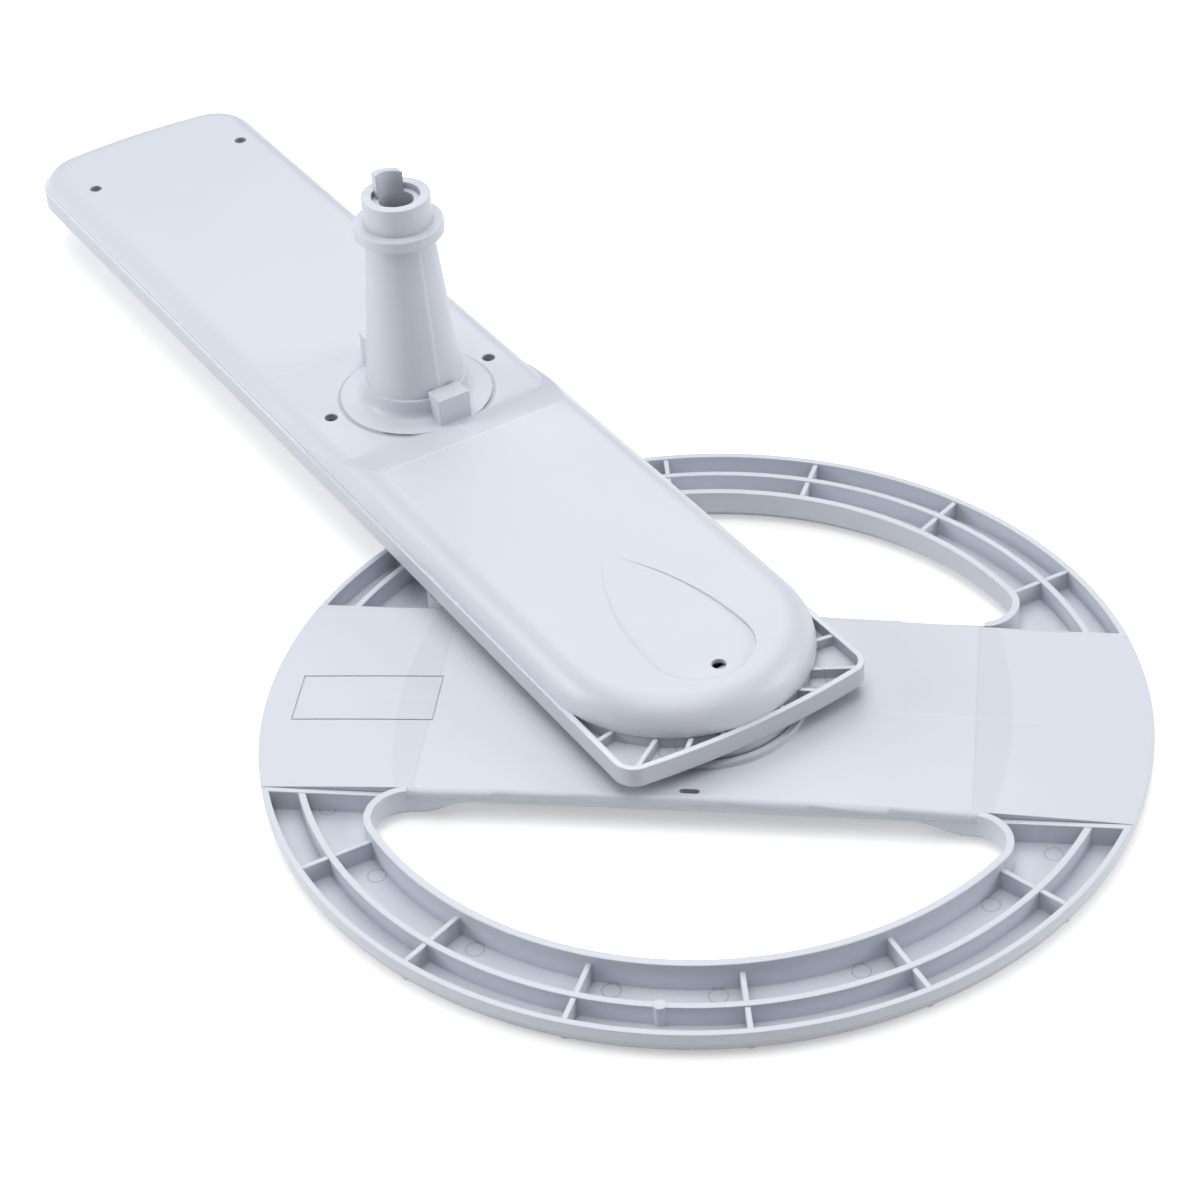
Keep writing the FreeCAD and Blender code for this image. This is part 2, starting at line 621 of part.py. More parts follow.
def stem_hollow():
    """Water way of the stem: the close bore at the spigot, then a cone inside the cone."""
    body = new_body("stem_hollow")
    sketch = new_sketch(body, "hollow_profile", "XZ_Plane")
    guide_end = "(Sizes.spigot_height - Sizes.bore_guide_length)"
    foot_radius = "(Sizes.cone_foot_radius - Sizes.stem_wall)"
    draw_polygon(sketch, [
        ("0", f"{CEILING} - {CLEAR}"),
        (foot_radius, f"{CEILING} - {CLEAR}"),
        (foot_radius, f"{ARM_TOP} + Sizes.collar_height"),
        ("Sizes.spigot_bore_radius", guide_end),
        ("Sizes.spigot_bore_radius", f"Sizes.spigot_height + {CLEAR}"),
        ("0", f"Sizes.spigot_height + {CLEAR}"),
    ])
    revolve(body, sketch)
    return body


def stem_cavity():
    """Inside of the far stretch, with its bevelled ceiling and the small holes of the skin."""
    body = new_body("stem_cavity", z=CEILING)
    height = "(Sizes.stem_shell_depth - Sizes.shell_wall)"
    pad(body, draw(new_sketch(body, "cavity_outline"), inner_outline()), height, down=True)
    chamfer_at(body, 0, inner_bevel("Sizes.far_edge_rounding"))
    holes = new_sketch(body, "small_holes")
    for place in ("-Sizes.far_hole_place", "-Sizes.stem_hole_place"):
        for side in ("", "-"):
            draw_circle(holes, "Sizes.pin_hole_radius", place, f"{side}Sizes.pin_hole_side")
    draw_circle(holes, "Sizes.pin_hole_radius", f"{REACH} + Sizes.end_hole_offset")
    pad(body, holes, f"Sizes.skin_raise + Sizes.shell_wall + {CLEAR}")
    return body


def boolean(kind, label, shapes):
    feature = doc.addObject(f"Part::{kind}", label)
    feature.Label = label
    if kind == "MultiFuse":
        feature.Shapes = shapes
    else:
        feature.Base, feature.Tool = shapes
    return feature


def make_stem_shell():
    """The moulding with the stem: skin and stem together, less the hollows and what hangs below."""
    skins = [far_skin(), raised_skin(), stem_column()]
    outside = boolean("MultiFuse", "stem_shell_outside", skins)
    below = new_body("below_seam", z=SEAM)
    edge = new_sketch(below, "below_outline")
    half = "(Sizes.arm_reach + Sizes.wheel_radius)"
    draw_rectangle(edge, f"-{half}", half, f"-{half}", half)
    pad(below, edge, "Sizes.raised_edge_rounding + Sizes.far_edge_rounding", down=True)
    rooms = [stem_cavity(), raised_cavity(), stem_hollow(), hub_dish(), below]
    hollow = boolean("MultiFuse", "stem_shell_inside", rooms)
    return boolean("Cut", "arm_stem_shell", [outside, hollow])


def plate_end():
    """Bowed end of the plate beyond the satellite axis, from the side at -Y to the side at +Y."""
    bow = number("Sizes.plate_bow_radius")
    corner = number("Sizes.plate_corner")
    side = number("Sizes.rim_half_width") - corner
    middle = number(f"{REACH} + Sizes.plate_overhang") - bow
    run = math.sqrt((bow - corner) ** 2 - side**2)
    aim = (run / (bow - corner), side / (bow - corner))
    centre = (middle + run, side)
    upper = corner_arc(centre, corner, aim, (0, 1))
    tip = (middle + bow * aim[0], bow * aim[1])
    lower = corner_arc((centre[0], -side), corner, (0, -1), (aim[0], -aim[1]))
    return [lower, arc((tip[0], -tip[1]), (middle + bow, 0), tip), upper]


def plate_corner_pocket():
    """Open corner of the end plate, between its rim and the round wall, on the +Y side."""
    rim = number("Sizes.plate_rim")
    slit = number("Sizes.plate_slit")
    centre = number(ROUND_CENTRE)
    wall = number("Sizes.raised_half_width - Sizes.round_wall_inset")
    side = number("Sizes.rim_half_width") - rim
    bow = number("Sizes.plate_bow_radius") - rim
    middle = number(f"{REACH} + Sizes.plate_overhang") - rim - bow
    start = centre + math.sqrt(max(wall**2 - (side - slit) ** 2, 0))
    along_wall = math.sqrt(wall**2 - (start - centre) ** 2)
    stop_wall = (wall**2 - (bow - slit) ** 2 + middle**2 - centre**2) / 2 / (middle - centre)
    stop_side = math.sqrt(wall**2 - (stop_wall - centre) ** 2)
    stop_bow = middle + math.sqrt(bow**2 - stop_side**2)
    corner = number("Sizes.plate_corner") - rim
    run = math.sqrt((bow - corner) ** 2 - (side - corner) ** 2)
    aim = (run / (bow - corner), (side - corner) / (bow - corner))
    tip = (middle + bow * aim[0], bow * aim[1])
    half = math.asin(aim[1]) / 2 + math.asin(stop_side / bow) / 2
    wall_start = math.atan2(along_wall, start - centre)
    wall_stop = math.asin(stop_side / wall)
    wall_mid = (wall_start + wall_stop) / 2
    return [
        line((start, along_wall), (start, side)),
        line((start, side), (middle + run, side)),
        corner_arc((middle + run, side - corner), corner, (0, 1), aim),
        arc(tip, (middle + bow * math.cos(half), bow * math.sin(half)), (stop_bow, stop_side)),
        line((stop_bow, stop_side), (stop_wall, stop_side)),
        arc(
            (stop_wall, stop_side),
            (centre + wall * math.cos(wall_mid), wall * math.sin(wall_mid)),
            (start, along_wall),
        ),
    ]


def bar_outline(start, heading, length, thickness):
    """A straight bar from a point along a heading in radians."""
    along = (math.cos(heading), math.sin(heading))
    aside = (-along[1] * thickness / 2, along[0] * thickness / 2)
    end = (start[0] + length * along[0], start[1] + length * along[1])
    corners = [(start[0] - aside[0], start[1] - aside[1]), (end[0] - aside[0], end[1] - aside[1])]
    corners += [(end[0] + aside[0], end[1] + aside[1]), (start[0] + aside[0], start[1] + aside[1])]
    return polygon(corners)


def plate_ribs(body):
    """Short ribs across the open corners of the end plate, each from the round wall to the rim."""
    sketch = new_sketch(body, "plate_ribs", offset=FLOOR)
    thickness = number("Sizes.plate_rib")
    centre = number(ROUND_CENTRE)
    wall = number("Sizes.raised_half_width - Sizes.round_wall_inset - Sizes.shell_wall / 2")
    side = number("Sizes.rim_half_width - Sizes.plate_rim / 2")
    bow = number("Sizes.plate_bow_radius - Sizes.plate_rim / 2")
    middle = number(f"{REACH} + Sizes.plate_overhang - Sizes.plate_bow_radius")
    for place, heading in PLATE_RIBS:
        place = math.radians(place)
        heading = math.radians(heading)
        start = (centre + wall * math.cos(place), wall * math.sin(place))
        to_side = (side - start[1]) / math.sin(heading)
        offset = start[0] - middle
        inward = offset * math.cos(heading) + start[1] * math.sin(heading)
        to_bow = math.sqrt(inward**2 + bow**2 - offset**2 - start[1] ** 2) - inward
        bar = bar_outline(start, heading, min(to_side, to_bow), thickness)
        draw(draw(sketch, bar), mirrored(bar))
    pad(body, sketch, "Sizes.nozzle_shell_depth - Sizes.shell_wall - Sizes.plate_rib_drop")


def make_nozzle_shell():
    """The other moulding of the arm, with the nozzle face, the end plate, skirt and gear seats."""
    body = new_body("arm_nozzle_shell")
    ledge = number("Sizes.far_half_width - Sizes.rim_half_width")
    outline = closed([far_end(number("Sizes.rim_half_width"), ledge), plate_end()])
    pad(body, draw(new_sketch(body, "nozzle_outline", offset=ARM_BASE), outline), "Sizes.nozzle_shell_depth")
    depth = "(Sizes.nozzle_shell_depth - Sizes.shell_wall)"
    pocket(body, draw(new_sketch(body, "nozzle_inside", offset=SEAM), inner_outline()), depth)
    corners = plate_corner_pocket()
    both = draw(draw(new_sketch(body, "plate_corners", offset=SEAM), corners), mirrored(corners))
    pocket(body, both, depth)
    plate_ribs(body)
    seat_the_wheel(body)
    seat_the_gears(body)
    bosses = new_sketch(body, "spray_bosses", offset=f"{ARM_BASE} + Sizes.shell_wall / 2")
    slots = new_sketch(body, "spray_slots", offset=FLOOR)
    for x, y, turn in ARM_SLOTS:
        draw_circle(bosses, "Sizes.spray_boss_radius", str(x), str(y))
        draw(slots, slot_outline("Sizes.spray_slot_length", "Sizes.spray_slot_width", x, y, turn))
    pad(body, bosses, "Sizes.spray_boss_rise + Sizes.shell_wall / 2", down=True)
    pocket(body, slots, f"Sizes.shell_wall + Sizes.spray_boss_rise + {CLEAR}")
    return body


def seat_the_wheel(body):
    """Skirt round the hub of the wheel and the boss that holds its bearing bush."""
    skirt = new_sketch(body, "skirt", offset=SKIRT_BASE)
    draw_circle(skirt, SKIRT_RADIUS, REACH)
    draw_circle(skirt, f"{SKIRT_RADIUS} - Sizes.skirt_wall", REACH)
    pad(body, skirt, f"{ARM_BASE} - {SKIRT_BASE} + Sizes.shell_wall / 2")
    boss = new_sketch(body, "bush_boss", offset=SKIRT_BASE)
    draw_circle(boss, f"{BUSH_RADIUS} + Sizes.shell_wall", REACH)
    pad(body, boss, f"{FLOOR} - {SKIRT_BASE}")
    bore = new_sketch(body, "bush_bore", offset=FLOOR)
    draw_circle(bore, BUSH_RADIUS, REACH)
    pocket(body, bore, f"{FLOOR} - {SKIRT_BASE} + {CLEAR}")


def seat_the_gears(body):
    """Raised seats of the gears on the floor, the stub in the keyed shaft and the pin seats."""
    seats = new_sketch(body, "gear_seats", offset=FLOOR)
    for place in (FIRST_CENTRES, SECOND_IDLER):
        draw_circle(seats, "Sizes.idler_hub_radius", place)
    draw_circle(seats, "Sizes.shaft_bore_radius + Sizes.shaft_seat_wall")
    pad(body, seats, "Sizes.gear_lift")
    stub = new_sketch(body, "shaft_stub", offset=FLOOR)
    draw_circle(stub, "Sizes.shaft_bore_radius - Sizes.running_gap")
    pad(body, stub, "Sizes.gear_lift + Sizes.gear_thick")
    pins = new_sketch(body, "floor_seats", offset=GEAR_BASE)
    for place in (FIRST_CENTRES, SECOND_IDLER):
        draw_circle(pins, "Sizes.idler_pin_radius", place)
    pocket(body, pins, "Sizes.gear_lift + Sizes.pin_seat")


def slot_outline(length, width, x, y, turn):
    """A slot with round ends, turned in its plane."""
    half = number(width) / 2
    run = number(length) / 2 - half
    cosine = math.cos(math.radians(turn))
    sine = math.sin(math.radians(turn))

    def spot(along, across):
        return (x + along * cosine - across * sine, y + along * sine + across * cosine)

    return [
        line(spot(-run, -half), spot(run, -half)),
        arc(spot(run, -half), spot(run + half, 0), spot(run, half)),
        line(spot(run, half), spot(-run, half)),
        arc(spot(-run, half), spot(-run - half, 0), spot(-run, -half)),
    ]


def make_sun_shaft():
    """Still inner tube with the sun gear at its foot and the key tongue at its top."""
    body = new_body("keyed_sun_shaft")
    gear = draw(new_sketch(body, "sun_outline", offset=GEAR_BASE), tooth_outline(SUN_TEETH, SUN_PHASE))
    pad(body, gear, "Sizes.gear_thick")
    tube = draw_circle(new_sketch(body, "shaft_tube", offset=GEAR_BASE), SHAFT_RADIUS)
    tube_top = "(Sizes.spigot_height - Sizes.shaft_rim_drop)"
    pad(body, tube, f"{tube_top} - {GEAR_BASE}")
    key = new_sketch(body, "key_block", "YZ_Plane", f"-{SHAFT_RADIUS}")
    key_top = "(Sizes.spigot_height + Sizes.key_rise)"
    slope = "Sizes.key_slant * Sizes.key_half_width"
    draw_polygon(key, [
        ("-Sizes.key_half_width", f"{tube_top} - {CLEAR}"),
        ("Sizes.key_half_width", f"{tube_top} - {CLEAR}"),
        ("Sizes.key_half_width", f"{key_top} + {slope}"),
        ("-Sizes.key_half_width", f"{key_top} - {slope}"),
    ])
    pad(body, key, SHAFT_RADIUS)
    trim = new_sketch(body, "key_outside", offset=f"{tube_top} - 2 * {CLEAR}")
    draw_circle(trim, f"{SHAFT_RADIUS} + Sizes.key_half_width")
    draw_circle(trim, SHAFT_RADIUS)
    key_space = "(2 * Sizes.key_rise + Sizes.shaft_rim_drop)"
    pocket(body, trim, f"{key_space} + 2 * {CLEAR}", up=True)
    bore = new_sketch(body, "shaft_bore", offset=f"{tube_top} + {key_space}")
    draw_circle(bore, "Sizes.shaft_bore_radius")
    pocket(body, bore, f"{tube_top} + {key_space} + {CLEAR} - {GEAR_BASE}")
    for name, role in (("windows_along", "XZ_Plane"), ("windows_across", "YZ_Plane")):
        windows = new_sketch(body, name, role)
        half = "Sizes.window_width / 2"
        base = "(-Sizes.window_bottom)"
        draw_rectangle(windows, f"-{half}", half, base, f"{base} + Sizes.window_height")
        pocket(body, windows, "Sizes.spigot_radius * 2", symmetric=True)
    holes = new_sketch(body, "web_holes", offset=GEAR_TOP)
    ring = number(f"({SHAFT_RADIUS} + Sizes.gear_module * (Sizes.sun_teeth / 2 - 1.25)) / 2")
    for index in range(SUN_HOLES):
        angle = 2 * math.pi * (index + 0.5) / SUN_HOLES
        draw_circle(holes, "Sizes.sun_hole_radius", str(ring * math.cos(angle)), str(ring * math.sin(angle)))
    pocket(body, holes, f"Sizes.gear_thick + {CLEAR}")
    return body


def make_idler(label, place, phase):
    """An idler: toothed rim, thin web and a hub on its pin, as tall as the room over the gears."""
    body = new_body(label, x=place, z=GEAR_BASE)
    outline = tooth_outline(IDLER_TEETH, phase)
    pad(body, draw(new_sketch(body, f"{label}_teeth"), outline), "Sizes.gear_thick")
    rim = "(Sizes.gear_module * (Sizes.idler_teeth / 2 - 1.25) - Sizes.gear_rim)"
    recess = new_sketch(body, f"{label}_recess", offset="Sizes.gear_thick")
    draw_circle(recess, rim)
    draw_circle(recess, "Sizes.idler_hub_radius")
    pocket(body, recess, "Sizes.gear_thick - Sizes.gear_web")
    hub = new_sketch(body, f"{label}_hub", offset="Sizes.gear_web")
    draw_circle(hub, "Sizes.idler_hub_radius")
    hub_top = f"({HUB_TOP} - {GEAR_BASE})"
    pad(body, hub, f"{hub_top} - Sizes.gear_web")
    bore = new_sketch(body, f"{label}_bore", offset=hub_top)
    draw_circle(bore, "Sizes.idler_pin_radius + Sizes.running_gap")
    pocket(body, bore, f"{hub_top} + {CLEAR}")
    return body


def make_pin(label, place):
    """Steel pin of an idler, seated in both shells."""
    pin = doc.addObject("Part::Cylinder", label)
    pin.Label = label
    pin.setExpression("Radius", "Sizes.idler_pin_radius")
    pin.setExpression("Height", f"{RAISED_CEILING} - {FLOOR} + 2 * Sizes.pin_seat")
    pin.setExpression("Placement.Base.x", place)
    pin.setExpression("Placement.Base.z", f"{FLOOR} - Sizes.pin_seat")
    return pin


def hub_section(radius):
    """Round hub with its two keys, as an outline."""
    half = number("Sizes.spline_width") / 2
    top = number(radius)
    key = top + number("Sizes.spline_height")
    flat = math.sqrt(top**2 - half**2)
    return [
        arc((flat, half), (0, top), (-flat, half)),
        line((-flat, half), (-key, half)),
        line((-key, half), (-key, -half)),
        line((-key, -half), (-flat, -half)),
        arc((-flat, -half), (0, -top), (flat, -half)),
        line((flat, -half), (key, -half)),
        line((key, -half), (key, half)),
        line((key, half), (flat, half)),
    ]


def make_satellite_gear():
    """Driven gear, keyed on the hub tube of the wheel."""
    turn = number("Sizes.crossbar_turn")
    body = new_body("satellite_gear", x=REACH, z=GEAR_BASE, turn=turn)
    outline = tooth_outline(SATELLITE_TEETH, SATELLITE_PHASE - turn)
    pad(body, draw(new_sketch(body, "satellite_teeth_outline"), outline), "Sizes.gear_thick")
    seat = draw(new_sketch(body, "hub_seat", offset="Sizes.gear_thick"), hub_section("Sizes.hub_radius"))
    pocket(body, seat, f"Sizes.gear_thick + {CLEAR}")
    return body


def make_ring(label, inner, outer, base, thickness):
    """A plain turned ring about the satellite axis."""
    body = new_body(label, x=REACH, z=base)
    sketch = new_sketch(body, f"{label}_section")
    draw_circle(sketch, outer)
    draw_circle(sketch, inner)
    pad(body, sketch, thickness)
    return body


def make_hub_bush():
    """Bearing bush pressed into the arm, with a flange under the satellite gear."""
    height = f"({FLOOR} - {SKIRT_BASE})"
    body = make_ring("hub_bush", BUSH_BORE, BUSH_RADIUS, SKIRT_BASE, height)
    flange = new_sketch(body, "bush_flange_section", offset=height)
    draw_circle(flange, f"{BUSH_RADIUS} + Sizes.bush_flange")
    draw_circle(flange, BUSH_BORE)
    pad(body, flange, "Sizes.gear_lift - Sizes.face_gap")
    return body


def opening_loop(side, grow=0.0):
    """D-shaped opening on one side of the crossbar, grown outward by a wall."""
    corner = number("Sizes.opening_corner")
    chord = number(TRAY_EDGE)
    radius = number(OPENING_RADIUS)
    centre_y = chord + corner
    centre_x = math.sqrt((radius - corner) ** 2 - centre_y**2)
    aim = (centre_x / (radius - corner), centre_y / (radius - corner))
    size = corner + grow
    tip = ((radius + grow) * aim[0], (radius + grow) * aim[1])
    pieces = [
        line((-centre_x, chord - grow), (centre_x, chord - grow)),
        corner_arc((centre_x, centre_y), size, (0, -1), (1, 0)),
        corner_arc((centre_x, centre_y), size, (1, 0), aim),
        arc(tip, (0, radius + grow), (-tip[0], tip[1])),
        corner_arc((-centre_x, centre_y), size, (-aim[0], aim[1]), (-1, 0)),
        corner_arc((-centre_x, centre_y), size, (-1, 0), (0, -1)),
    ]
    return pieces if side > 0 else mirrored(pieces)


def channel_loop(side):
    """Channel of the ring between its outer wall and the wall round an opening."""
    corner = number("Sizes.opening_corner")
    wall = number("Sizes.inner_wall_thick")
    chord = number(TRAY_EDGE)
    radius = number(OPENING_RADIUS)
    rim = number("Sizes.wheel_radius - Sizes.rim_wall")
    centre_y = chord + corner
    centre_x = math.sqrt((radius - corner) ** 2 - centre_y**2)
    aim = (centre_x / (radius - corner), centre_y / (radius - corner))
    size = corner + wall
    start = (math.sqrt(size**2 - corner**2) / size, -corner / size)
    tip = ((radius + wall) * aim[0], (radius + wall) * aim[1])
    rim_x = math.sqrt(rim**2 - chord**2)
    foot = (centre_x + size * start[0], chord)
    pieces = [
        arc((rim_x, chord), (0, rim), (-rim_x, chord)),
        line((-rim_x, chord), (-foot[0], chord)),
        corner_arc((-centre_x, centre_y), size, (-start[0], start[1]), (-aim[0], aim[1])),
        arc((-tip[0], tip[1]), (0, radius + wall), tip),
        corner_arc((centre_x, centre_y), size, aim, start),
        line(foot, (rim_x, chord)),
    ]
    return pieces if side > 0 else mirrored(pieces)


def crossbar_hollow():
    """Water channel under the cover, from rim to rim."""
    side = number(f"{TRAY_EDGE} - Sizes.inner_wall_thick")
    rim = number("Sizes.wheel_radius - Sizes.rim_wall")
    end = math.sqrt(rim**2 - side**2)
    return [
        line((-end, -side), (end, -side)),
        arc((end, -side), (rim, 0), (end, side)),
        line((end, side), (-end, side)),
        arc((-end, side), (-rim, 0), (-end, -side)),
    ]


def crown_height(drop):
    """Heights of the arched cover or of a surface under it: at its middle and at the rim."""
    middle = number("Sizes.cover_crown") - drop
    return middle, middle - number("Sizes.cover_fall")


def crown_point(drop, x):
    """Height of that arch at a distance from the wheel axis."""
    middle, end = crown_height(drop)
    radius = number("Sizes.wheel_radius")
    bend = (radius**2 + (middle - end) ** 2) / 2 / (middle - end)
    return middle - bend + math.sqrt(bend**2 - x**2)


def above_crown(drop, half_length, top):
    """Region of the lengthwise section above the arch."""
    low = crown_point(drop, half_length)
    return [
        arc((-half_length, low), (0, crown_point(drop, 0)), (half_length, low)),
        line((half_length, low), (half_length, top)),
        line((half_length, top), (-half_length, top)),
        line((-half_length, top), (-half_length, low)),
    ]


def tray_arch(lift):
    """Arc of the arched underside of the tray, or of its floor above it."""
    span = number("Sizes.tray_span")
    foot = lift - number("Sizes.wheel_height")
    return arc((-span, foot), (0, foot + number("Sizes.tray_rise")), (span, foot))


def make_satellite_ring():
    """Ribbed ring, walls round both openings and the tray of the crossbar, moulded as one."""
    body = new_body("satellite_ring", x=REACH, z=WHEEL_TOP, turn=number("Sizes.crossbar_turn"))
    blank = draw_circle(new_sketch(body, "ring_blank"), "Sizes.wheel_radius")
    pad(body, blank, "Sizes.wheel_height", down=True)
    fillet_at(body, -number("Sizes.wheel_height"), "Sizes.wheel_edge_rounding")
    channels = new_sketch(body, "channels")
    for side in (1, -1):
        draw(channels, channel_loop(side))
    pocket(body, channels, CHANNEL_DEPTH)
    rib = new_sketch(body, "round_rib", offset=f"-{CHANNEL_DEPTH}")
    draw_circle(rib, f"{ROUND_RIB_RADIUS} + Sizes.round_rib_thick / 2")
    draw_circle(rib, f"{ROUND_RIB_RADIUS} - Sizes.round_rib_thick / 2")
    pad(body, rib, f"{CHANNEL_DEPTH} - Sizes.round_rib_drop")
    radial_ribs(body)
    post = new_sketch(body, "post", offset=f"-{CHANNEL_DEPTH}")
    draw_circle(post, "Sizes.post_radius", y=f"-{ROUND_RIB_RADIUS}")
    pad(body, post, CHANNEL_DEPTH)
    pocket(body, draw(new_sketch(body, "crossbar_hollow"), crossbar_hollow()), CHANNEL_DEPTH)
    walls = new_sketch(body, "opening_walls", offset=f"-{CHANNEL_DEPTH}")
    for side in (1, -1):
        draw(walls, opening_loop(side, number("Sizes.inner_wall_thick")))
    pad(body, walls, f"{CHANNEL_DEPTH} + Sizes.inner_wall_rise")
    openings = new_sketch(body, "openings", offset="Sizes.inner_wall_rise")
    for side in (1, -1):
        draw(openings, opening_loop(side))
    pocket(body, openings, f"Sizes.wheel_height + Sizes.inner_wall_rise + {CLEAR}")
    inside_rim = number("Sizes.wheel_radius - Sizes.wheel_edge_rounding - Sizes.rim_wall")
    bottom = -number("Sizes.wheel_height")
    chamfer_at(body, bottom, "Sizes.opening_bevel", keep=lambda edge: edge.BoundBox.XMax < inside_rim)
    arch_the_tray(body)
    seat_for_cover(body)
    slots = new_sketch(body, "tray_slots", offset="-Sizes.rib_drop")
    for x, y, turn in TRAY_SLOTS:
        draw(slots, slot_outline("Sizes.tray_slot_length", "Sizes.tray_slot_width", x, y, turn))
    pocket(body, slots, f"Sizes.wheel_height + {CLEAR}")
    return body


def radial_ribs(body):
    """Radial ribs on each side of the crossbar, evenly spaced."""
    sketch = new_sketch(body, "radial_ribs", offset=f"-{CHANNEL_DEPTH}")
    inner = number(f"{OPENING_RADIUS} + Sizes.inner_wall_thick / 2")
    outer = number("Sizes.wheel_radius - Sizes.rim_wall / 2")
    step = number("Sizes.rib_step_angle")
    for side in (90, -90):
        for index in range(RADIAL_RIBS_PER_SIDE):
            angle = math.radians(side + (index - (RADIAL_RIBS_PER_SIDE - 1) / 2) * step)
            start = (inner * math.cos(angle), inner * math.sin(angle))
            draw(sketch, bar_outline(start, angle, outer - inner, number("Sizes.rib_thick")))
    pad(body, sketch, f"{CHANNEL_DEPTH} - Sizes.rib_drop")


def arch_the_tray(body):
    """Cuts the flat underside of the crossbar to an arch and lays floor and sloped sides above it."""
    span = number("Sizes.tray_span")
    bottom = -number("Sizes.wheel_height")
    sides = new_sketch(body, "tray_sides", "YZ_Plane")
    under_sides = new_sketch(body, "under_tray_sides", "YZ_Plane")
    low = "(-Sizes.wheel_height)"
    high = f"({low} + Sizes.tray_side_rise)"
    for sign in ("", "-"):
        edge = f"{sign}{TRAY_EDGE}"
        inner = f"{sign}({TRAY_EDGE} - Sizes.tray_side_run)"
        beyond = f"{sign}({TRAY_EDGE} + {CLEAR})"
        draw_polygon(sides, [
            (edge, high),
            (inner, low),
            (inner, f"{low} + Sizes.tray_side_wall"),
            (edge, f"{high} + Sizes.tray_side_wall"),
        ])
        draw_polygon(under_sides, [
            (edge, high),
            (inner, low),
            (inner, f"{low} - {CLEAR}"),
            (beyond, f"{low} - {CLEAR}"),
            (beyond, high),
        ])
    pad(body, sides, "2 * Sizes.tray_span", symmetric=True)
    under = tray_arch(0)
    below = bottom - CLEAR
    cut = [under, line((span, bottom), (span, below)), line((span, below), (-span, below)),
           line((-span, below), (-span, bottom))]
    sketch = draw(new_sketch(body, "under_tray", "XZ_Plane"), cut)
    pocket(body, sketch, f"2 * {TRAY_EDGE}", symmetric=True)
    lift = number("Sizes.wheel_floor")
    inside = tray_arch(lift)
    floor = [tray_arch(0), line((span, bottom), (span, bottom + lift)), inside,
             line((-span, bottom + lift), (-span, bottom))]
    sketch = draw(new_sketch(body, "tray_floor", "XZ_Plane"), floor)
    pad(body, sketch, f"2 * {TRAY_EDGE}", symmetric=True)
    pocket(body, under_sides, "2 * Sizes.tray_span", symmetric=True)


def seat_for_cover(body):
    """Cuts the walls down to the underside of the arched cover."""
    drop = number("Sizes.cover_thick")
    full = number("Sizes.wheel_radius") + CLEAR
    top = number("Sizes.cover_crown + Sizes.inner_wall_rise")
    seat = draw(new_sketch(body, "cover_seat", "XZ_Plane"), above_crown(drop, full, top))
    pocket(body, seat, "2 * (Sizes.crossbar_half_width + Sizes.cover_fit)", symmetric=True)
    span = number("Sizes.tray_span") + 2 * CLEAR
    ledge = draw(new_sketch(body, "tray_ledges", "XZ_Plane"), above_crown(drop, span, top))
    pocket(body, ledge, f"2 * ({TRAY_EDGE} + {CLEAR})", symmetric=True)


def arched_section(half_length, drop, thickness):
    """Lengthwise section between the arch at a drop below the cover's face and one further down."""
    top = [crown_point(drop, half_length), crown_point(drop, 0)]
    low = [crown_point(drop + thickness, half_length), crown_point(drop + thickness, 0)]
    return [
        arc((-half_length, low[0]), (0, low[1]), (half_length, low[0])),
        line((half_length, low[0]), (half_length, top[0])),
        arc((half_length, top[0]), (0, top[1]), (-half_length, top[0])),
        line((-half_length, top[0]), (-half_length, low[0])),
    ]


def frame_cutter():
    """What the shallow frame takes out of the arched face: a thin loop of even depth."""
    body = new_body("frame_cutter", x=REACH, z=WHEEL_TOP, turn=number("Sizes.crossbar_turn"))
    reach = number("Sizes.wheel_radius")
    depth = number("Sizes.engraving_depth")
    skin = draw(new_sketch(body, "engraved_skin", "XZ_Plane"), arched_section(reach, -depth, 2 * depth))
    pad(body, skin, "2 * Sizes.crossbar_half_width", symmetric=True)
    high = "(Sizes.cover_crown + 2 * Sizes.engraving_depth)"
    far = "(2 * Sizes.wheel_radius)"
    outside = new_sketch(body, "outside_frame", offset=high)
    draw_rectangle(outside, f"-{far}", far, f"-{far}", far)
    frame_rectangle(outside, "0")
    inside = new_sketch(body, "inside_frame", offset=high)
    frame_rectangle(inside, "Sizes.frame_line")
    for sketch in (outside, inside):
        pocket(body, sketch, f"{high} + Sizes.cover_fall + Sizes.cover_thick")
    return body


def frame_rectangle(sketch, inset):
    half_x = f"(Sizes.frame_length / 2 - {inset})"
    half_y = f"(Sizes.frame_width / 2 - {inset})"
    draw_rectangle(sketch, f"-Sizes.frame_place - {half_x}", f"-Sizes.frame_place + {half_x}",
                   f"Sizes.frame_side - {half_y}", f"Sizes.frame_side + {half_y}")


def round_cover_edges(body):
    """Rounds the two long upper edges of the cover."""
    doc.recompute()
    base = body.Tip
    reach = number(TRAY_EDGE)
    middle = number("Sizes.cover_crown - Sizes.cover_thick / 2")
    names = []
    for index, edge in enumerate(base.Shape.Edges, start=1):
        box = edge.BoundBox
        if min(abs(box.YMin), abs(box.YMax)) > reach - 0.001 and box.ZMax > middle and box.XLength > reach:
            names.append(f"Edge{index}")
    feature = body.newObject("PartDesign::Fillet", "cover_edges_rounded")
    feature.Base = (base, names)
    feature.setExpression("Radius", "Sizes.cover_edge_rounding")
    body.Tip = feature
    return feature


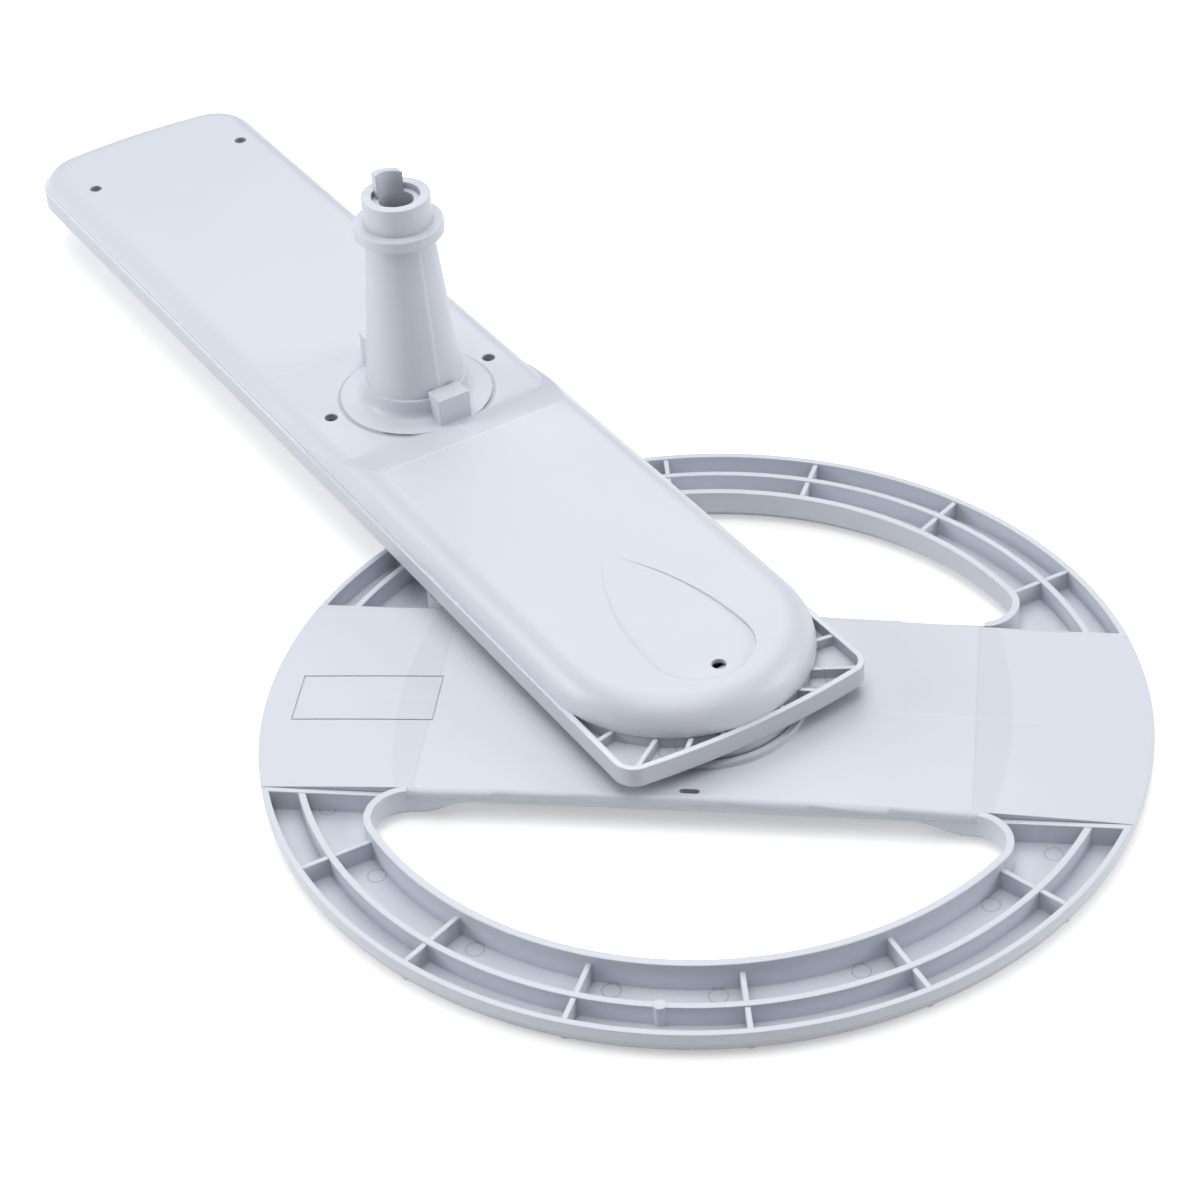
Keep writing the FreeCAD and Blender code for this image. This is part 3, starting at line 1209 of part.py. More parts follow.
def cover_blank():
    """Arched skin of the crossbar with the hub tube, the lip round it and the two slots."""
    body = new_body("cover_blank", x=REACH, z=WHEEL_TOP, turn=number("Sizes.crossbar_turn"))
    full = number("Sizes.wheel_radius") + 2 * CLEAR
    section = arched_section(full, 0, number("Sizes.cover_thick"))
    skin = draw(new_sketch(body, "cover_section", "XZ_Plane"), section)
    pad(body, skin, f"2 * {TRAY_EDGE}", symmetric=True)
    round_cover_edges(body)
    narrow = new_sketch(body, "beside_cover_ends", offset=f"Sizes.cover_crown + {CLEAR}")
    far = "(2 * Sizes.wheel_radius)"
    for along in ("", "-"):
        for across in ("", "-"):
            draw_rectangle(narrow, f"{along}Sizes.tray_span", f"{along}{far}",
                           f"{across}Sizes.crossbar_half_width", f"{across}{far}")
    pocket(body, narrow, f"Sizes.cover_crown + 3 * Sizes.cover_fall + Sizes.cover_thick + {CLEAR}")
    trim = new_sketch(body, "cover_ends", offset=f"Sizes.cover_crown + {CLEAR}")
    draw_circle(trim, "Sizes.wheel_radius * 1.5")
    draw_circle(trim, "Sizes.wheel_radius")
    pocket(body, trim, f"Sizes.cover_crown + 2 * Sizes.cover_fall + Sizes.cover_thick + {CLEAR}")
    hub_floor = "(Sizes.cover_crown + Sizes.hub_floor_rise)"
    plate = draw_circle(new_sketch(body, "hub_plate", offset=hub_floor), "Sizes.lip_radius")
    pad(body, plate, "Sizes.cover_thick", down=True)
    lip = new_sketch(body, "hub_lip", offset=hub_floor)
    draw_circle(lip, "Sizes.lip_radius")
    draw_circle(lip, "Sizes.lip_radius - Sizes.lip_thick")
    pad(body, lip, "Sizes.lip_height")
    tube = draw_circle(new_sketch(body, "hub_tube", offset=hub_floor), "Sizes.hub_radius")
    tube_top = f"({HUB_TOP} - {WHEEL_TOP})"
    pad(body, tube, f"{tube_top} - {hub_floor}")
    gear_base = f"({GEAR_BASE} - {WHEEL_TOP})"
    keys = draw(new_sketch(body, "hub_keys", offset=gear_base), hub_section("Sizes.hub_radius"))
    pad(body, keys, "Sizes.gear_thick")
    groove_sketch = new_sketch(body, "clip_groove", "XZ_Plane")
    gear_top = f"({GEAR_TOP} - {WHEEL_TOP})"
    groove_floor = "Sizes.hub_radius - Sizes.clip_depth"
    groove_mouth = "Sizes.hub_radius + 2 * Sizes.spline_height"
    draw_rectangle(groove_sketch, groove_floor, groove_mouth, gear_top, f"{gear_top} + Sizes.clip_thick")
    groove(body, groove_sketch)
    bore = new_sketch(body, "hub_bore", offset=f"{tube_top} + {CLEAR}")
    draw_circle(bore, "Sizes.hub_bore_radius")
    pocket(body, bore, f"{tube_top} + Sizes.cover_thick + 2 * {CLEAR}")
    slots = new_sketch(body, "cover_slots", offset=f"Sizes.cover_crown + {CLEAR}")
    for side in (1, -1):
        place = side * number("Sizes.cover_slot_place")
        draw(slots, slot_outline("Sizes.cover_slot_length", "Sizes.cover_slot_width", 0, place, 0))
    pocket(body, slots, f"Sizes.cover_thick + 2 * {CLEAR}")
    return body


def make_parts():
    """All pieces, by the name of their file."""
    clip_inner = "Sizes.hub_radius - Sizes.clip_depth"
    clip_outer = "Sizes.hub_radius + Sizes.clip_reach"
    washer_inner = "Sizes.hub_radius + Sizes.washer_play"
    return [
        make_stem_shell(),
        make_nozzle_shell(),
        make_sun_shaft(),
        make_idler("idler_gear_inner", FIRST_CENTRES, INNER_PHASE),
        make_idler("idler_gear_outer", SECOND_IDLER, OUTER_PHASE),
        make_pin("idler_pin_inner", FIRST_CENTRES),
        make_pin("idler_pin_outer", SECOND_IDLER),
        make_satellite_gear(),
        make_ring("hub_clip", clip_inner, clip_outer, GEAR_TOP, "Sizes.clip_thick"),
        make_hub_bush(),
        make_ring("thrust_washer", washer_inner, SKIRT_RADIUS, HUB_FLOOR, "Sizes.washer_thick"),
        boolean("Cut", "satellite_cover", [cover_blank(), frame_cutter()]),
        make_satellite_ring(),
    ]


parts = make_parts()
doc.recompute()

for item in doc.Objects:
    if "Invalid" in item.State or "Error" in item.State:
        raise ValueError(f"{item.Name} did not compute")
for part in parts:
    if part.Shape.isNull() or not part.Shape.isValid():
        raise ValueError(f"{part.Label} has no valid shape")

for part in parts:
    part.Shape.exportStep(f"parts/{part.Label}.step")
    solids = len(part.Shape.Solids)
    print(f"{part.Label}: {solids} solid, {part.Shape.Volume / 1000:.2f} cm3")
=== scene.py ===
# %% [markdown]
# A dishwasher spray arm with a geared satellite wheel, dressed and lit as a studio shot.
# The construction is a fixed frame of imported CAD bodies, already at real size and in place. This
# notebook gives every piece its finish, adds the small marks that moulding leaves on such parts,
# and sets up floor, light and camera. Loading the frame comes first, since all places hang on it.
# Blender works in metres here, so lengths that are meant in millimetres are written with * MM.

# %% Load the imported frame
import json
import math
from functools import reduce

import bmesh
import bpy
from mathutils import Matrix, Vector

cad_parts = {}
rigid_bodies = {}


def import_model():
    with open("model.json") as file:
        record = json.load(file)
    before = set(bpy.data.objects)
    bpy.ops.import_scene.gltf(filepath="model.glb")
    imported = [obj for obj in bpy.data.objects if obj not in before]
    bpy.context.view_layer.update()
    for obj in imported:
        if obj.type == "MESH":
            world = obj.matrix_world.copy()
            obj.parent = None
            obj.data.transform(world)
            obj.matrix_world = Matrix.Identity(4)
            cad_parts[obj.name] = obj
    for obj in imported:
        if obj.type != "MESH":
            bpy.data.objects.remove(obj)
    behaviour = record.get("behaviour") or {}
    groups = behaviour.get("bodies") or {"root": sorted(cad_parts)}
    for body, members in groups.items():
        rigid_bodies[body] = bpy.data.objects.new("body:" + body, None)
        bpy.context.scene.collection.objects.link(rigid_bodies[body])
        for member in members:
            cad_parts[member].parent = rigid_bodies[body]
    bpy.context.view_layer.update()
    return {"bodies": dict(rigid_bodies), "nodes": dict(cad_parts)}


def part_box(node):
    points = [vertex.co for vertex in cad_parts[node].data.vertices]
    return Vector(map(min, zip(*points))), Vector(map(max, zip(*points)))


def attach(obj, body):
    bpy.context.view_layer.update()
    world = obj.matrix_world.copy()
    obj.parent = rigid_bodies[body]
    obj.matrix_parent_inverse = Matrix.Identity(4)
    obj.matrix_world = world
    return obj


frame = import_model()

MM = 0.001
print("bodies:", ", ".join(sorted(frame["bodies"])))

# %% [markdown]
# A Blender material is a graph of nodes, and sums wired by hand are hard to read. Two classes let
# the finishes be written as Python expressions instead. The first one is a Signal: one socket
# whose value changes over the surface. Adding or multiplying it adds a Math node. Beside the plain
# sums it knows the shapes that masks are made of: a soft step, a line, a range and a union.

# %% Signals
LINE_FADE = 1.7


class Signal:
    """One output of a shader node that Python's operators can combine."""

    def __init__(self, finish, socket):
        self.finish = finish
        self.socket = socket

    def maths(self, operation, first, second=0.0):
        return self.finish.node("ShaderNodeMath", {"operation": operation}, {0: first, 1: second})

    def __add__(self, other):
        return self.maths("ADD", self, other)

    def __radd__(self, other):
        return self.maths("ADD", other, self)

    def __sub__(self, other):
        return self.maths("SUBTRACT", self, other)

    def __rsub__(self, other):
        return self.maths("SUBTRACT", other, self)

    def __mul__(self, other):
        return self.maths("MULTIPLY", self, other)

    def __rmul__(self, other):
        return self.maths("MULTIPLY", other, self)

    def __truediv__(self, other):
        return self.maths("DIVIDE", self, other)

    def __rtruediv__(self, other):
        return self.maths("DIVIDE", other, self)

    def __abs__(self):
        return self.maths("ABSOLUTE", self)

    def sign(self):
        return self.maths("SIGN", self)

    def root(self):
        return self.maths("SQRT", self)

    def limited(self, low, high):
        return self.finish.node("ShaderNodeClamp", {}, {"Value": self, "Min": low, "Max": high})

    def between(self, low, high):
        """0 below low, 1 above high and a soft step from one to the other."""
        settings = {"interpolation_type": "SMOOTHSTEP"}
        inputs = {"Value": self, "From Min": low, "From Max": high}
        return self.finish.node("ShaderNodeMapRange", settings, inputs)

    def line(self, middle, half_width):
        """1 on a line round a value, which fades to 0 just beyond its half width."""
        return 1 - abs(self - middle).between(half_width, LINE_FADE * half_width)

    def within(self, low, high, fade):
        """1 from low to high, with a fade at both ends."""
        return self.between(low - fade, low + fade) * (1 - self.between(high - fade, high + fade))

    def join(self, other):
        """The larger of two masks, so that marks that cross don't add up."""
        return self.maths("MAXIMUM", self, other)


def joined(masks):
    """One mask out of many."""
    return reduce(Signal.join, masks)


def drawn_line(across, along, row):
    """A mark from its row: place and half width across, ends and fade along, and strength."""
    *lengths, strength = row
    middle, half_width, start, end, fade = (length * MM for length in lengths)
    return across.line(middle, half_width) * along.within(start, end, fade) * strength


print("a line fades out at", LINE_FADE, "times its half width")

# %% [markdown]
# The second class is a Finish: one material with its shader. Its node method makes any other node.
# The settings go in first, because some of them change which sockets exist, and then the values
# or links. The methods below it are short names for the nodes that the finishes use most.

# %% Finishes
NEARBY_SAMPLES = 6


class Finish:
    """One material with a principled shader, built from expressions."""

    def __init__(self, name):
        self.material = bpy.data.materials.new(name)
        self.material.use_nodes = True
        self.tree = self.material.node_tree
        self.shader = self.tree.nodes["Principled BSDF"]

    def node(self, kind, settings, inputs, output=0):
        node = self.tree.nodes.new(kind)
        for name, value in settings.items():
            setattr(node, name, value)
        for name, value in inputs.items():
            self.feed(node.inputs[name], value)
        return Signal(self, node.outputs[output])

    def feed(self, socket, value):
        if isinstance(value, Signal):
            self.tree.links.new(value.socket, socket)
        else:
            socket.default_value = value

    def set(self, **values):
        """Sets sockets of the shader: Base_Color stands for Base Color."""
        for name, value in values.items():
            self.feed(self.shader.inputs[name.replace("_", " ")], value)

    def mix(self, share, first, second):
        """The first colour where the share is 0, the second one where it is 1."""
        inputs = {"Factor": share, 6: first, 7: second}
        return self.node("ShaderNodeMix", {"data_type": "RGBA"}, inputs, 2)

    def mix_vectors(self, share, first, second):
        inputs = {"Factor": share, 4: first, 5: second}
        return self.node("ShaderNodeMix", {"data_type": "VECTOR"}, inputs, 1)

    def vector(self, operation, first, second, output="Vector"):
        inputs = {0: first, 1: second}
        return self.node("ShaderNodeVectorMath", {"operation": operation}, inputs, output)

    def dot(self, first, second):
        return self.vector("DOT_PRODUCT", first, second, "Value")

    def distance(self, point, middle):
        return self.vector("DISTANCE", point, middle, "Value")

    def flat(self, point):
        """The point without its height, for distances seen from above."""
        return self.vector("MULTIPLY", point, (1, 1, 0))

    def along(self, vector, axis):
        return self.node("ShaderNodeSeparateXYZ", {}, {"Vector": vector}, axis)

    def place(self):
        """Where a point of the surface is, in the part's own frame."""
        return self.node("ShaderNodeTexCoord", {}, {}, "Object")

    def facing(self):
        """The way that the surface faces."""
        return self.node("ShaderNodeNewGeometry", {}, {}, "Normal")

    def noise(self, point, size, detail):
        """Soft random value from 0 to 1 with blots of a size in metres."""
        inputs = {"Vector": point, "Scale": 1 / size, "Detail": detail, "Roughness": 0.5}
        return self.node("ShaderNodeTexNoise", {}, inputs)

    def occlusion(self, reach):
        """1 in the open, towards 0 where other walls stand within reach."""
        settings = {"samples": NEARBY_SAMPLES}
        return self.node("ShaderNodeAmbientOcclusion", settings, {"Distance": reach}, "AO")

    def bevel(self, radius):
        """The normal as it would be with every edge rounded to this radius."""
        return self.node("ShaderNodeBevel", {"samples": NEARBY_SAMPLES}, {"Radius": radius})


print("shader expressions ready, with", NEARBY_SAMPLES, "samples for what lies nearby")

# %% [markdown]
# Colours are written as a screen shows them, from 0 to 255, because that is how a picture gives
# them. Shaders work in linear light, so they are turned into that first. A lighter or darker
# shade of a plastic keeps its hue: all three parts are multiplied by one share, and the share
# stops before the brightest part gets paler than white plastic is.

# %% Colours
PALEST = 0.95


def rgb(red, green, blue):
    """Display values from 0 to 255 as the linear colour that shaders work in."""
    linear = [((value / 255 + 0.055) / 1.055) ** 2.4 for value in (red, green, blue)]
    return (*linear, 1.0)


def scaled(colour, share):
    """A colour made lighter or darker in its own hue."""
    share = min(share, PALEST / max(colour[:3]))
    return (*[value * share for value in colour[:3]], 1.0)


GREY = rgb(217, 221, 231)
print("housing grey in linear light:", [round(value, 3) for value in GREY[:3]])

# %% [markdown]
# The arm and the wheel are moulded in one light, bluish grey polypropylene with a satin skin.
# Real mouldings are never quite one colour: the melt leaves very soft clouds. Edges of a mould
# are also never knife sharp. The Bevel node gives a rounded normal near each edge, which catches
# light as the real radius does, and how far that normal leans away tells where the edges are, so
# it drives a painted highlight that makes the rim paler.
# Shade gathers between the ribs, so an Ambient Occlusion node paints shade into the colour there.
# The marks that the mould leaves, together with shade painted into deep or shaded places, differ
# from piece to piece, so they come in as a function, and a second function may say where a crease
# is drawn out so softly that it hardly shows. A third may give the exact normal of a curved place
# that the imported mesh shows only in long facets.

# %% Moulded plastic
CLOUD_SIZE = 38 * MM
GRAIN_SIZE = 0.9 * MM
CLOUD_SHADES = (0.965, 1.03)
CLOUD_GLOSS, GRAIN_GLOSS = 0.08, 0.05
EDGE_RADIUS = 0.55 * MM
SOFT_CREASE_RADIUS = 4.5 * MM
# Painted highlight along edges: how far the rounded normal leans, and how much paler it gets
EDGE_LEAN = (0.005, 0.10)
EDGE_HIGHLIGHT_SHADE = 1.3
# Painted shade in recesses: how far to look for walls, and how dark the colour gets
RECESS_REACH = 6.5 * MM
RECESS_RANGE = (0.25, 0.8)
RECESS_SHADE = 0.36
RECESS_STRENGTH = 0.42
PALE_MARK_SHADE = 1.24
PALE_MARK_HEIGHT = 3.0
DARK_MARK_AND_SHADE_TINT = 0.15
RELIEF_DEPTH = 0.012 * MM
PLASTIC_IOR = 1.49
SATIN = 0.36


def rounded_normal(finish, place, edge_radius, soften, true_curve):
    """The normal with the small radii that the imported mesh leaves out."""
    radius = edge_radius
    if soften:
        radius = soften(finish, place) * SOFT_CREASE_RADIUS + edge_radius
    rounded = finish.bevel(radius)
    if true_curve:
        zone, curve_normal = true_curve(finish, place)
        rounded = finish.mix_vectors(zone, rounded, curve_normal)
    return rounded


def moulded(
    name, colour, roughness, edge_radius=EDGE_RADIUS, pale_edge=1.0,
    marks=None, soften=None, true_curve=None,
):
    """A satin plastic; the last three are functions for what only one piece has."""
    finish = Finish(name)
    place = finish.place()
    clouds = finish.noise(place, CLOUD_SIZE, 3.0)
    grain = finish.noise(place, GRAIN_SIZE, 4.0)
    rounded = rounded_normal(finish, place, edge_radius, soften, true_curve)
    # Painted shade: the colour darkens where other walls stand near
    painted_recess_shade = (1 - finish.occlusion(RECESS_REACH)).between(*RECESS_RANGE)
    # Painted highlight: the colour is paler where the rounded normal leans away near an edge
    lean = 1 - finish.dot(rounded, finish.facing())
    edge = lean.between(*EDGE_LEAN) * (1 - painted_recess_shade)
    darker, lighter = (scaled(colour, shade) for shade in CLOUD_SHADES)
    body = finish.mix(clouds, darker, lighter)
    body = finish.mix(painted_recess_shade * RECESS_STRENGTH, body, scaled(colour, RECESS_SHADE))
    body = finish.mix(edge * pale_edge, body, scaled(colour, EDGE_HIGHLIGHT_SHADE))
    relief = grain * 0.5 + clouds
    if marks:
        # The dark mask holds real marks and painted shade together
        pale, dark_marks_and_shade = marks(finish, place)
        body = finish.mix(pale, body, scaled(colour, PALE_MARK_SHADE))
        body = finish.mix(dark_marks_and_shade, body, scaled(colour, DARK_MARK_AND_SHADE_TINT))
        relief = relief + pale * PALE_MARK_HEIGHT
    height = {"Height": relief, "Distance": RELIEF_DEPTH, "Normal": rounded}
    finish.set(
        Base_Color=body,
        Roughness=roughness + (clouds - 0.5) * CLOUD_GLOSS + (grain - 0.5) * GRAIN_GLOSS,
        Normal=finish.node("ShaderNodeBump", {}, height),
        IOR=PLASTIC_IOR,
        Specular_IOR_Level=0.5,
    )
    return finish.material


def grey_plastic(name, **details):
    return moulded(name, GREY, SATIN, **details)


GEAR = moulded("white_acetal", rgb(236, 236, 231), 0.30, edge_radius=0.2 * MM)
BEARING = moulded("grey_bearing_plastic", rgb(150, 154, 160), 0.42, edge_radius=0.15 * MM)
print("plastics:", GEAR.name, BEARING.name)

# %% [markdown]
# Where two halves of a mould meet, plastic creeps a hair's breadth into the joint and leaves a
# thin pale line. The stem shell has one across its raised skin, one down the front of the cone
# and a faint one beside the stem. Its weld seam with the lower shell leaves a broken bead of
# flash. Light hardly gets down into the bore of the stem and the pin holes, so they are dark.
# Each mark is a mask: a product of "how near to this plane" terms in the part's own frame.

# %% Marks that the shells share
SEAM_LEVEL = -57.3 * MM
SPECK_SIZE = 2.2 * MM
SPECK_RANGE = (0.56, 0.66)
BORE_WALL = (7.2 * MM, 7.5 * MM)
BORE_FADE = (-5 * MM, 7.0 * MM)
BORE_STRENGTH = 0.85


def seam_flash(finish, place, height):
    """A fine line along the weld, with wider specks where the bead broke off."""
    specks = finish.noise(place, SPECK_SIZE, 2.0).between(*SPECK_RANGE)
    fine_line = height.line(SEAM_LEVEL, 0.14 * MM)
    return (fine_line * 0.6).join(height.line(SEAM_LEVEL, 0.3 * MM) * specks)


def bore_shade(finish, place):
    """Strongest down in the narrow bore of the stem, where hardly any light arrives."""
    inside = 1 - finish.distance(finish.flat(place), (0, 0, 0)).between(*BORE_WALL)
    depth = 1 - finish.along(place, "Z").between(*BORE_FADE)
    return inside * depth * BORE_STRENGTH


# The sun shaft gets no marks of its own, only painted shade down in the bore
def shaft_marks(finish, place):
    return 0.0, bore_shade(finish, place)


SUN_SHAFT = grey_plastic("grey_sun_shaft", marks=shaft_marks)
print("seam at", round(SEAM_LEVEL / MM, 1), "mm, finish", SUN_SHAFT.name)

# %% [markdown]
# The lines of the stem shell lie on its skin, so they share one mask that leaves out the walls
# below it. A line needs a place and two ends, and each of them fades out over a short stretch,
# so every line has one row of numbers. Painted shade fills the pin holes as dark balls round
# their middles, and lies as a fine dark line round the foot of the collar.

# %% Marks of the stem shell
SKIN_LEVEL = (-53.0 * MM, -52.6 * MM)
# place, half width, two ends and their fade in mm, and strength
PARTING_LINE = (30.5, 0.17, -25.5, 25.0, 2.0, 0.8)
FAINT_LINE = (-29.4, 0.15, -28.0, -7.0, 1.5, 0.3)
HOLE_LINE = (-3.2, 0.2, 20.2, 22.2, 0.2, 0.6)
LUG_LINE = (1.0, 0.17, 18.7, 30.4, 0.2, 0.6)
CONE_LINE = (0.75, 0.15, -43.5, -3.2, 0.4, 0.7)
# Painted shade: a fine dark line round the foot of the collar, in the crease at the pad
FOOT_SHADE_LINE = (20.45, 0.3, -52.6, -51.9, 0.1, 0.3)
PIN_HOLES = [(142.5, 0.0, -49.8)] + [(x, y, -53.0) for x in (-150.7, -3.2) for y in (23.8, -23.8)]
PIN_HOLE_RADIUS = 1.75 * MM
PIN_HOLE_STRENGTH = 0.8


def pin_hole_shade(finish, place):
    middles = [tuple(length * MM for length in middle) for middle in PIN_HOLES]
    distances = [finish.distance(place, middle) for middle in middles]
    holes = [distance.within(0, PIN_HOLE_RADIUS, 0.1 * MM) for distance in distances]
    return joined(holes) * PIN_HOLE_STRENGTH


def stem_shell_marks(finish, place):
    x, y, z = (finish.along(place, axis) for axis in "XYZ")
    from_axis = finish.distance(finish.flat(place), (0, 0, 0))
    lines = [
        drawn_line(x, y, PARTING_LINE),
        drawn_line(x, y, FAINT_LINE),
        drawn_line(x, abs(y), HOLE_LINE),
        drawn_line(y, x, LUG_LINE),
    ]
    on_skin = joined(lines) * z.between(*SKIN_LEVEL)
    on_cone = drawn_line(y, z, CONE_LINE) * x.between(0, 1 * MM)
    # Painted shade in the crease round the foot of the collar
    foot_shade = drawn_line(from_axis, z, FOOT_SHADE_LINE)
    pale = joined([on_skin, on_cone, seam_flash(finish, place, z)])
    return pale, joined([foot_shade, bore_shade(finish, place), pin_hole_shade(finish, place)])


print("pin holes:", len(PIN_HOLES))

# %% [markdown]
# The skin climbs to its raised stretch by a ramp whose creases are nearly lost on the real part.
# A wide Bevel radius draws them out, and a mask keeps it away from the sharp pad and the lug.

# %% Ramp of the stem shell
RAMP_ALONG = (12 * MM, 37 * MM, 1.5 * MM)
RAMP_SIDE = (25 * MM, 27 * MM)
PAD_SIDE = (10 * MM, 12 * MM)
PAD_END = (23 * MM, 24 * MM)


def ramp_softening(finish, place):
    """1 where the skin climbs to its raised stretch, clear of the pad and the lug."""
    x, y, z = (finish.along(place, axis) for axis in "XYZ")
    ramp = x.within(*RAMP_ALONG) * (1 - abs(y).between(*RAMP_SIDE))
    beside_pad = abs(y).between(*PAD_SIDE).join(x.between(*PAD_END))
    return ramp * beside_pad * z.between(*SKIN_LEVEL)


STEM_SHELL = grey_plastic("grey_stem_shell", marks=stem_shell_marks, soften=ramp_softening)
print("marks and ramp on", STEM_SHELL.name)

# %% [markdown]
# Ejector pins push a moulding out and leave flat circles with a faint rim. Two are in the plate
# of the lower shell and eight stand on the floor of the wheel. A circle is the set of points at
# one distance from its middle, so a mask for its rim is a line in the distance from that middle.
# The middles are kept in mm, which is how a drawing gives them, and turned to metres at the end.

# %% Ejector circles
WHEEL_AXIS = 135.0
CROSSBAR_ANGLE = math.radians(50.8)
EJECTOR_RADIUS = 2.1 * MM
EJECTOR_STRENGTH = 0.27
PLATE_EJECTORS = [(151.4, -20.3), (151.0, 21.8)]
NEAR_OPENINGS = [(88.4, angle) for angle in (-97.5, -82.5, -119, -62, -141, -39)]
AT_CROSSBAR_ENDS = [(90.8, -158), (90.8, -25)]


def from_wheel_axis(radius, angle):
    """A place in mm from its radius and its angle in degrees from the crossbar."""
    turn = CROSSBAR_ANGLE + math.radians(angle)
    return WHEEL_AXIS + radius * math.cos(turn), radius * math.sin(turn)


WHEEL_EJECTORS = [from_wheel_axis(*ejector) for ejector in NEAR_OPENINGS + AT_CROSSBAR_ENDS]


def ejector_rims(finish, place, middles):
    """One mask for the rims of all circles, whose middles are given in mm."""
    flat = finish.flat(place)
    distances = [finish.distance(flat, (x * MM, y * MM, 0)) for x, y in middles]
    return joined([far.line(EJECTOR_RADIUS, 0.15 * MM) for far in distances]) * EJECTOR_STRENGTH


print("ejector circles:", len(PLATE_EJECTORS) + len(WHEEL_EJECTORS))

# %% [markdown]
# The upright walls of the lower shell stand in the shade of the arm, so painted shade makes them a
# little darker than its plate. The outside of the wheel has a weld line, and below it, close to the
# table, painted shade darkens it. All of this hangs on the way a wall faces or on its height, so it
# is a mask again.

# %% Marks of the lower shell and the wheel
PLATE_LEVEL = (-62.0 * MM, -61.5 * MM)
LEVEL_FACE = (0.2, 0.5)
WALL_SHADE_STRENGTH = 0.16
WHEEL_FLOOR = (-74.0 * MM, -73.6 * MM)
WHEEL_OUTSIDE = (103.4 * MM, 104.2 * MM)
WELD_LEVEL = -71.6 * MM
WELD_STRENGTH = 0.5
NEAR_TABLE = (-75.5 * MM, -70.5 * MM)
NEAR_TABLE_SHADE = 0.3


def nozzle_shell_marks(finish, place):
    z = finish.along(place, "Z")
    rims = ejector_rims(finish, place, PLATE_EJECTORS) * z.between(*PLATE_LEVEL)
    # Painted shade: upright walls come out a little darker than the plate
    upright = 1 - abs(finish.along(finish.facing(), "Z")).between(*LEVEL_FACE)
    return seam_flash(finish, place, z), rims.join(upright * WALL_SHADE_STRENGTH)


def wheel_ring_marks(finish, place):
    z = finish.along(place, "Z")
    rims = ejector_rims(finish, place, WHEEL_EJECTORS) * (1 - z.between(*WHEEL_FLOOR))
    from_axis = finish.distance(finish.flat(place), (WHEEL_AXIS * MM, 0, 0))
    outside = from_axis.between(*WHEEL_OUTSIDE)
    weld = z.line(WELD_LEVEL, 0.16 * MM) * outside * WELD_STRENGTH
    # Painted shade: the outside darkens towards the table
    low = (1 - z.between(*NEAR_TABLE)) * outside
    return weld, rims.join(low * NEAR_TABLE_SHADE)


NOZZLE_SHELL = grey_plastic("grey_nozzle_shell", marks=nozzle_shell_marks)
WHEEL_RING = grey_plastic("grey_wheel_ring", marks=wheel_ring_marks)
print("marks on", NOZZLE_SHELL.name, "and", WHEEL_RING.name)

# %% [markdown]
# The cover of the crossbar shows where hidden walls meet it from below. Thick places shrink more
# as they cool, so a band across each end takes the light a touch differently, which is given as
# painted shade, and a faint line runs along the middle. Both follow the crossbar, so the mask is
# written in lengths along and across it.

# %% Marks of the crossbar cover
BAND_STARTS = (63.6 * MM, 64.2 * MM)
BAND_ENDS = (71.9 * MM, 72.8 * MM)
BAND_BULGE = 3.6
# Painted shade of the band across each end of the cover
BAND_SHADE = 0.06
BAND_EDGE = 64.0 * MM
BAND_EDGE_SHADE = 0.09
# place, half width, two ends and their fade in mm, and strength
MIDDLE_LINE = (-0.8, 0.14, 39.6, 79.0, 1.5, 0.22)


def on_crossbar(finish, place):
    """Signals for the length along and the length across the crossbar, from the hub."""
    from_hub = finish.vector("SUBTRACT", place, (WHEEL_AXIS * MM, 0, 0))
    along_way = (math.cos(CROSSBAR_ANGLE), math.sin(CROSSBAR_ANGLE), 0)
    across_way = (-along_way[1], along_way[0], 0)
    return finish.dot(from_hub, along_way), finish.dot(from_hub, across_way)


def cover_marks(finish, place):
    along, across = on_crossbar(finish, place)
    reach = abs(along)
    bulged = reach + across * across * BAND_BULGE
    # Painted shade: a faint darker band across each end, and a line along its inner edge
    band = reach.between(*BAND_STARTS) * (1 - bulged.between(*BAND_ENDS)) * BAND_SHADE
    band_edge_shade = reach.line(BAND_EDGE, 0.25 * MM) * BAND_EDGE_SHADE
    return drawn_line(across, reach, MIDDLE_LINE), band.join(band_edge_shade)


print("thick band starts", round(BAND_EDGE / MM, 1), "mm from the hub")

# %% [markdown]
# The long edges of the cover are rounded to a quarter circle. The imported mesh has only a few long
# facets there, and light runs over them in steps. On a quarter circle the normal follows from the
# length across alone: it leans outward by the share of the radius that the point lies out, and
# its rise is the other short side of that right triangle. Along the edges, this exact normal
# takes the place of the meshed one.

# %% Cover
EDGE_ROUNDING = 1.9 * MM
ROUNDING_STARTS = 33.0 * MM
ROUNDING_ENDS = 63.0 * MM
STEEPEST_LEAN = 0.999


def edge_curve(finish, place):
    """The quarter circle of the cover's long edges: where it is, and which way it faces."""
    along, across = on_crossbar(finish, place)
    out_by = abs(across) - ROUNDING_STARTS
    lean = (out_by / EDGE_ROUNDING).limited(0.0, STEEPEST_LEAN)
    outward = lean * across.sign()
    parts = {
        "X": outward * -math.sin(CROSSBAR_ANGLE),
        "Y": outward * math.cos(CROSSBAR_ANGLE),
        "Z": (1 - lean * lean).root(),
    }
    spaces = {"vector_type": "NORMAL", "convert_from": "OBJECT", "convert_to": "WORLD"}
    faces = {"Vector": finish.node("ShaderNodeCombineXYZ", {}, parts)}
    zone = out_by.between(0, 0.05 * MM)
    zone = zone * (1 - abs(along).between(ROUNDING_ENDS - 0.1 * MM, ROUNDING_ENDS))
    return zone, finish.node("ShaderNodeVectorTransform", spaces, faces)


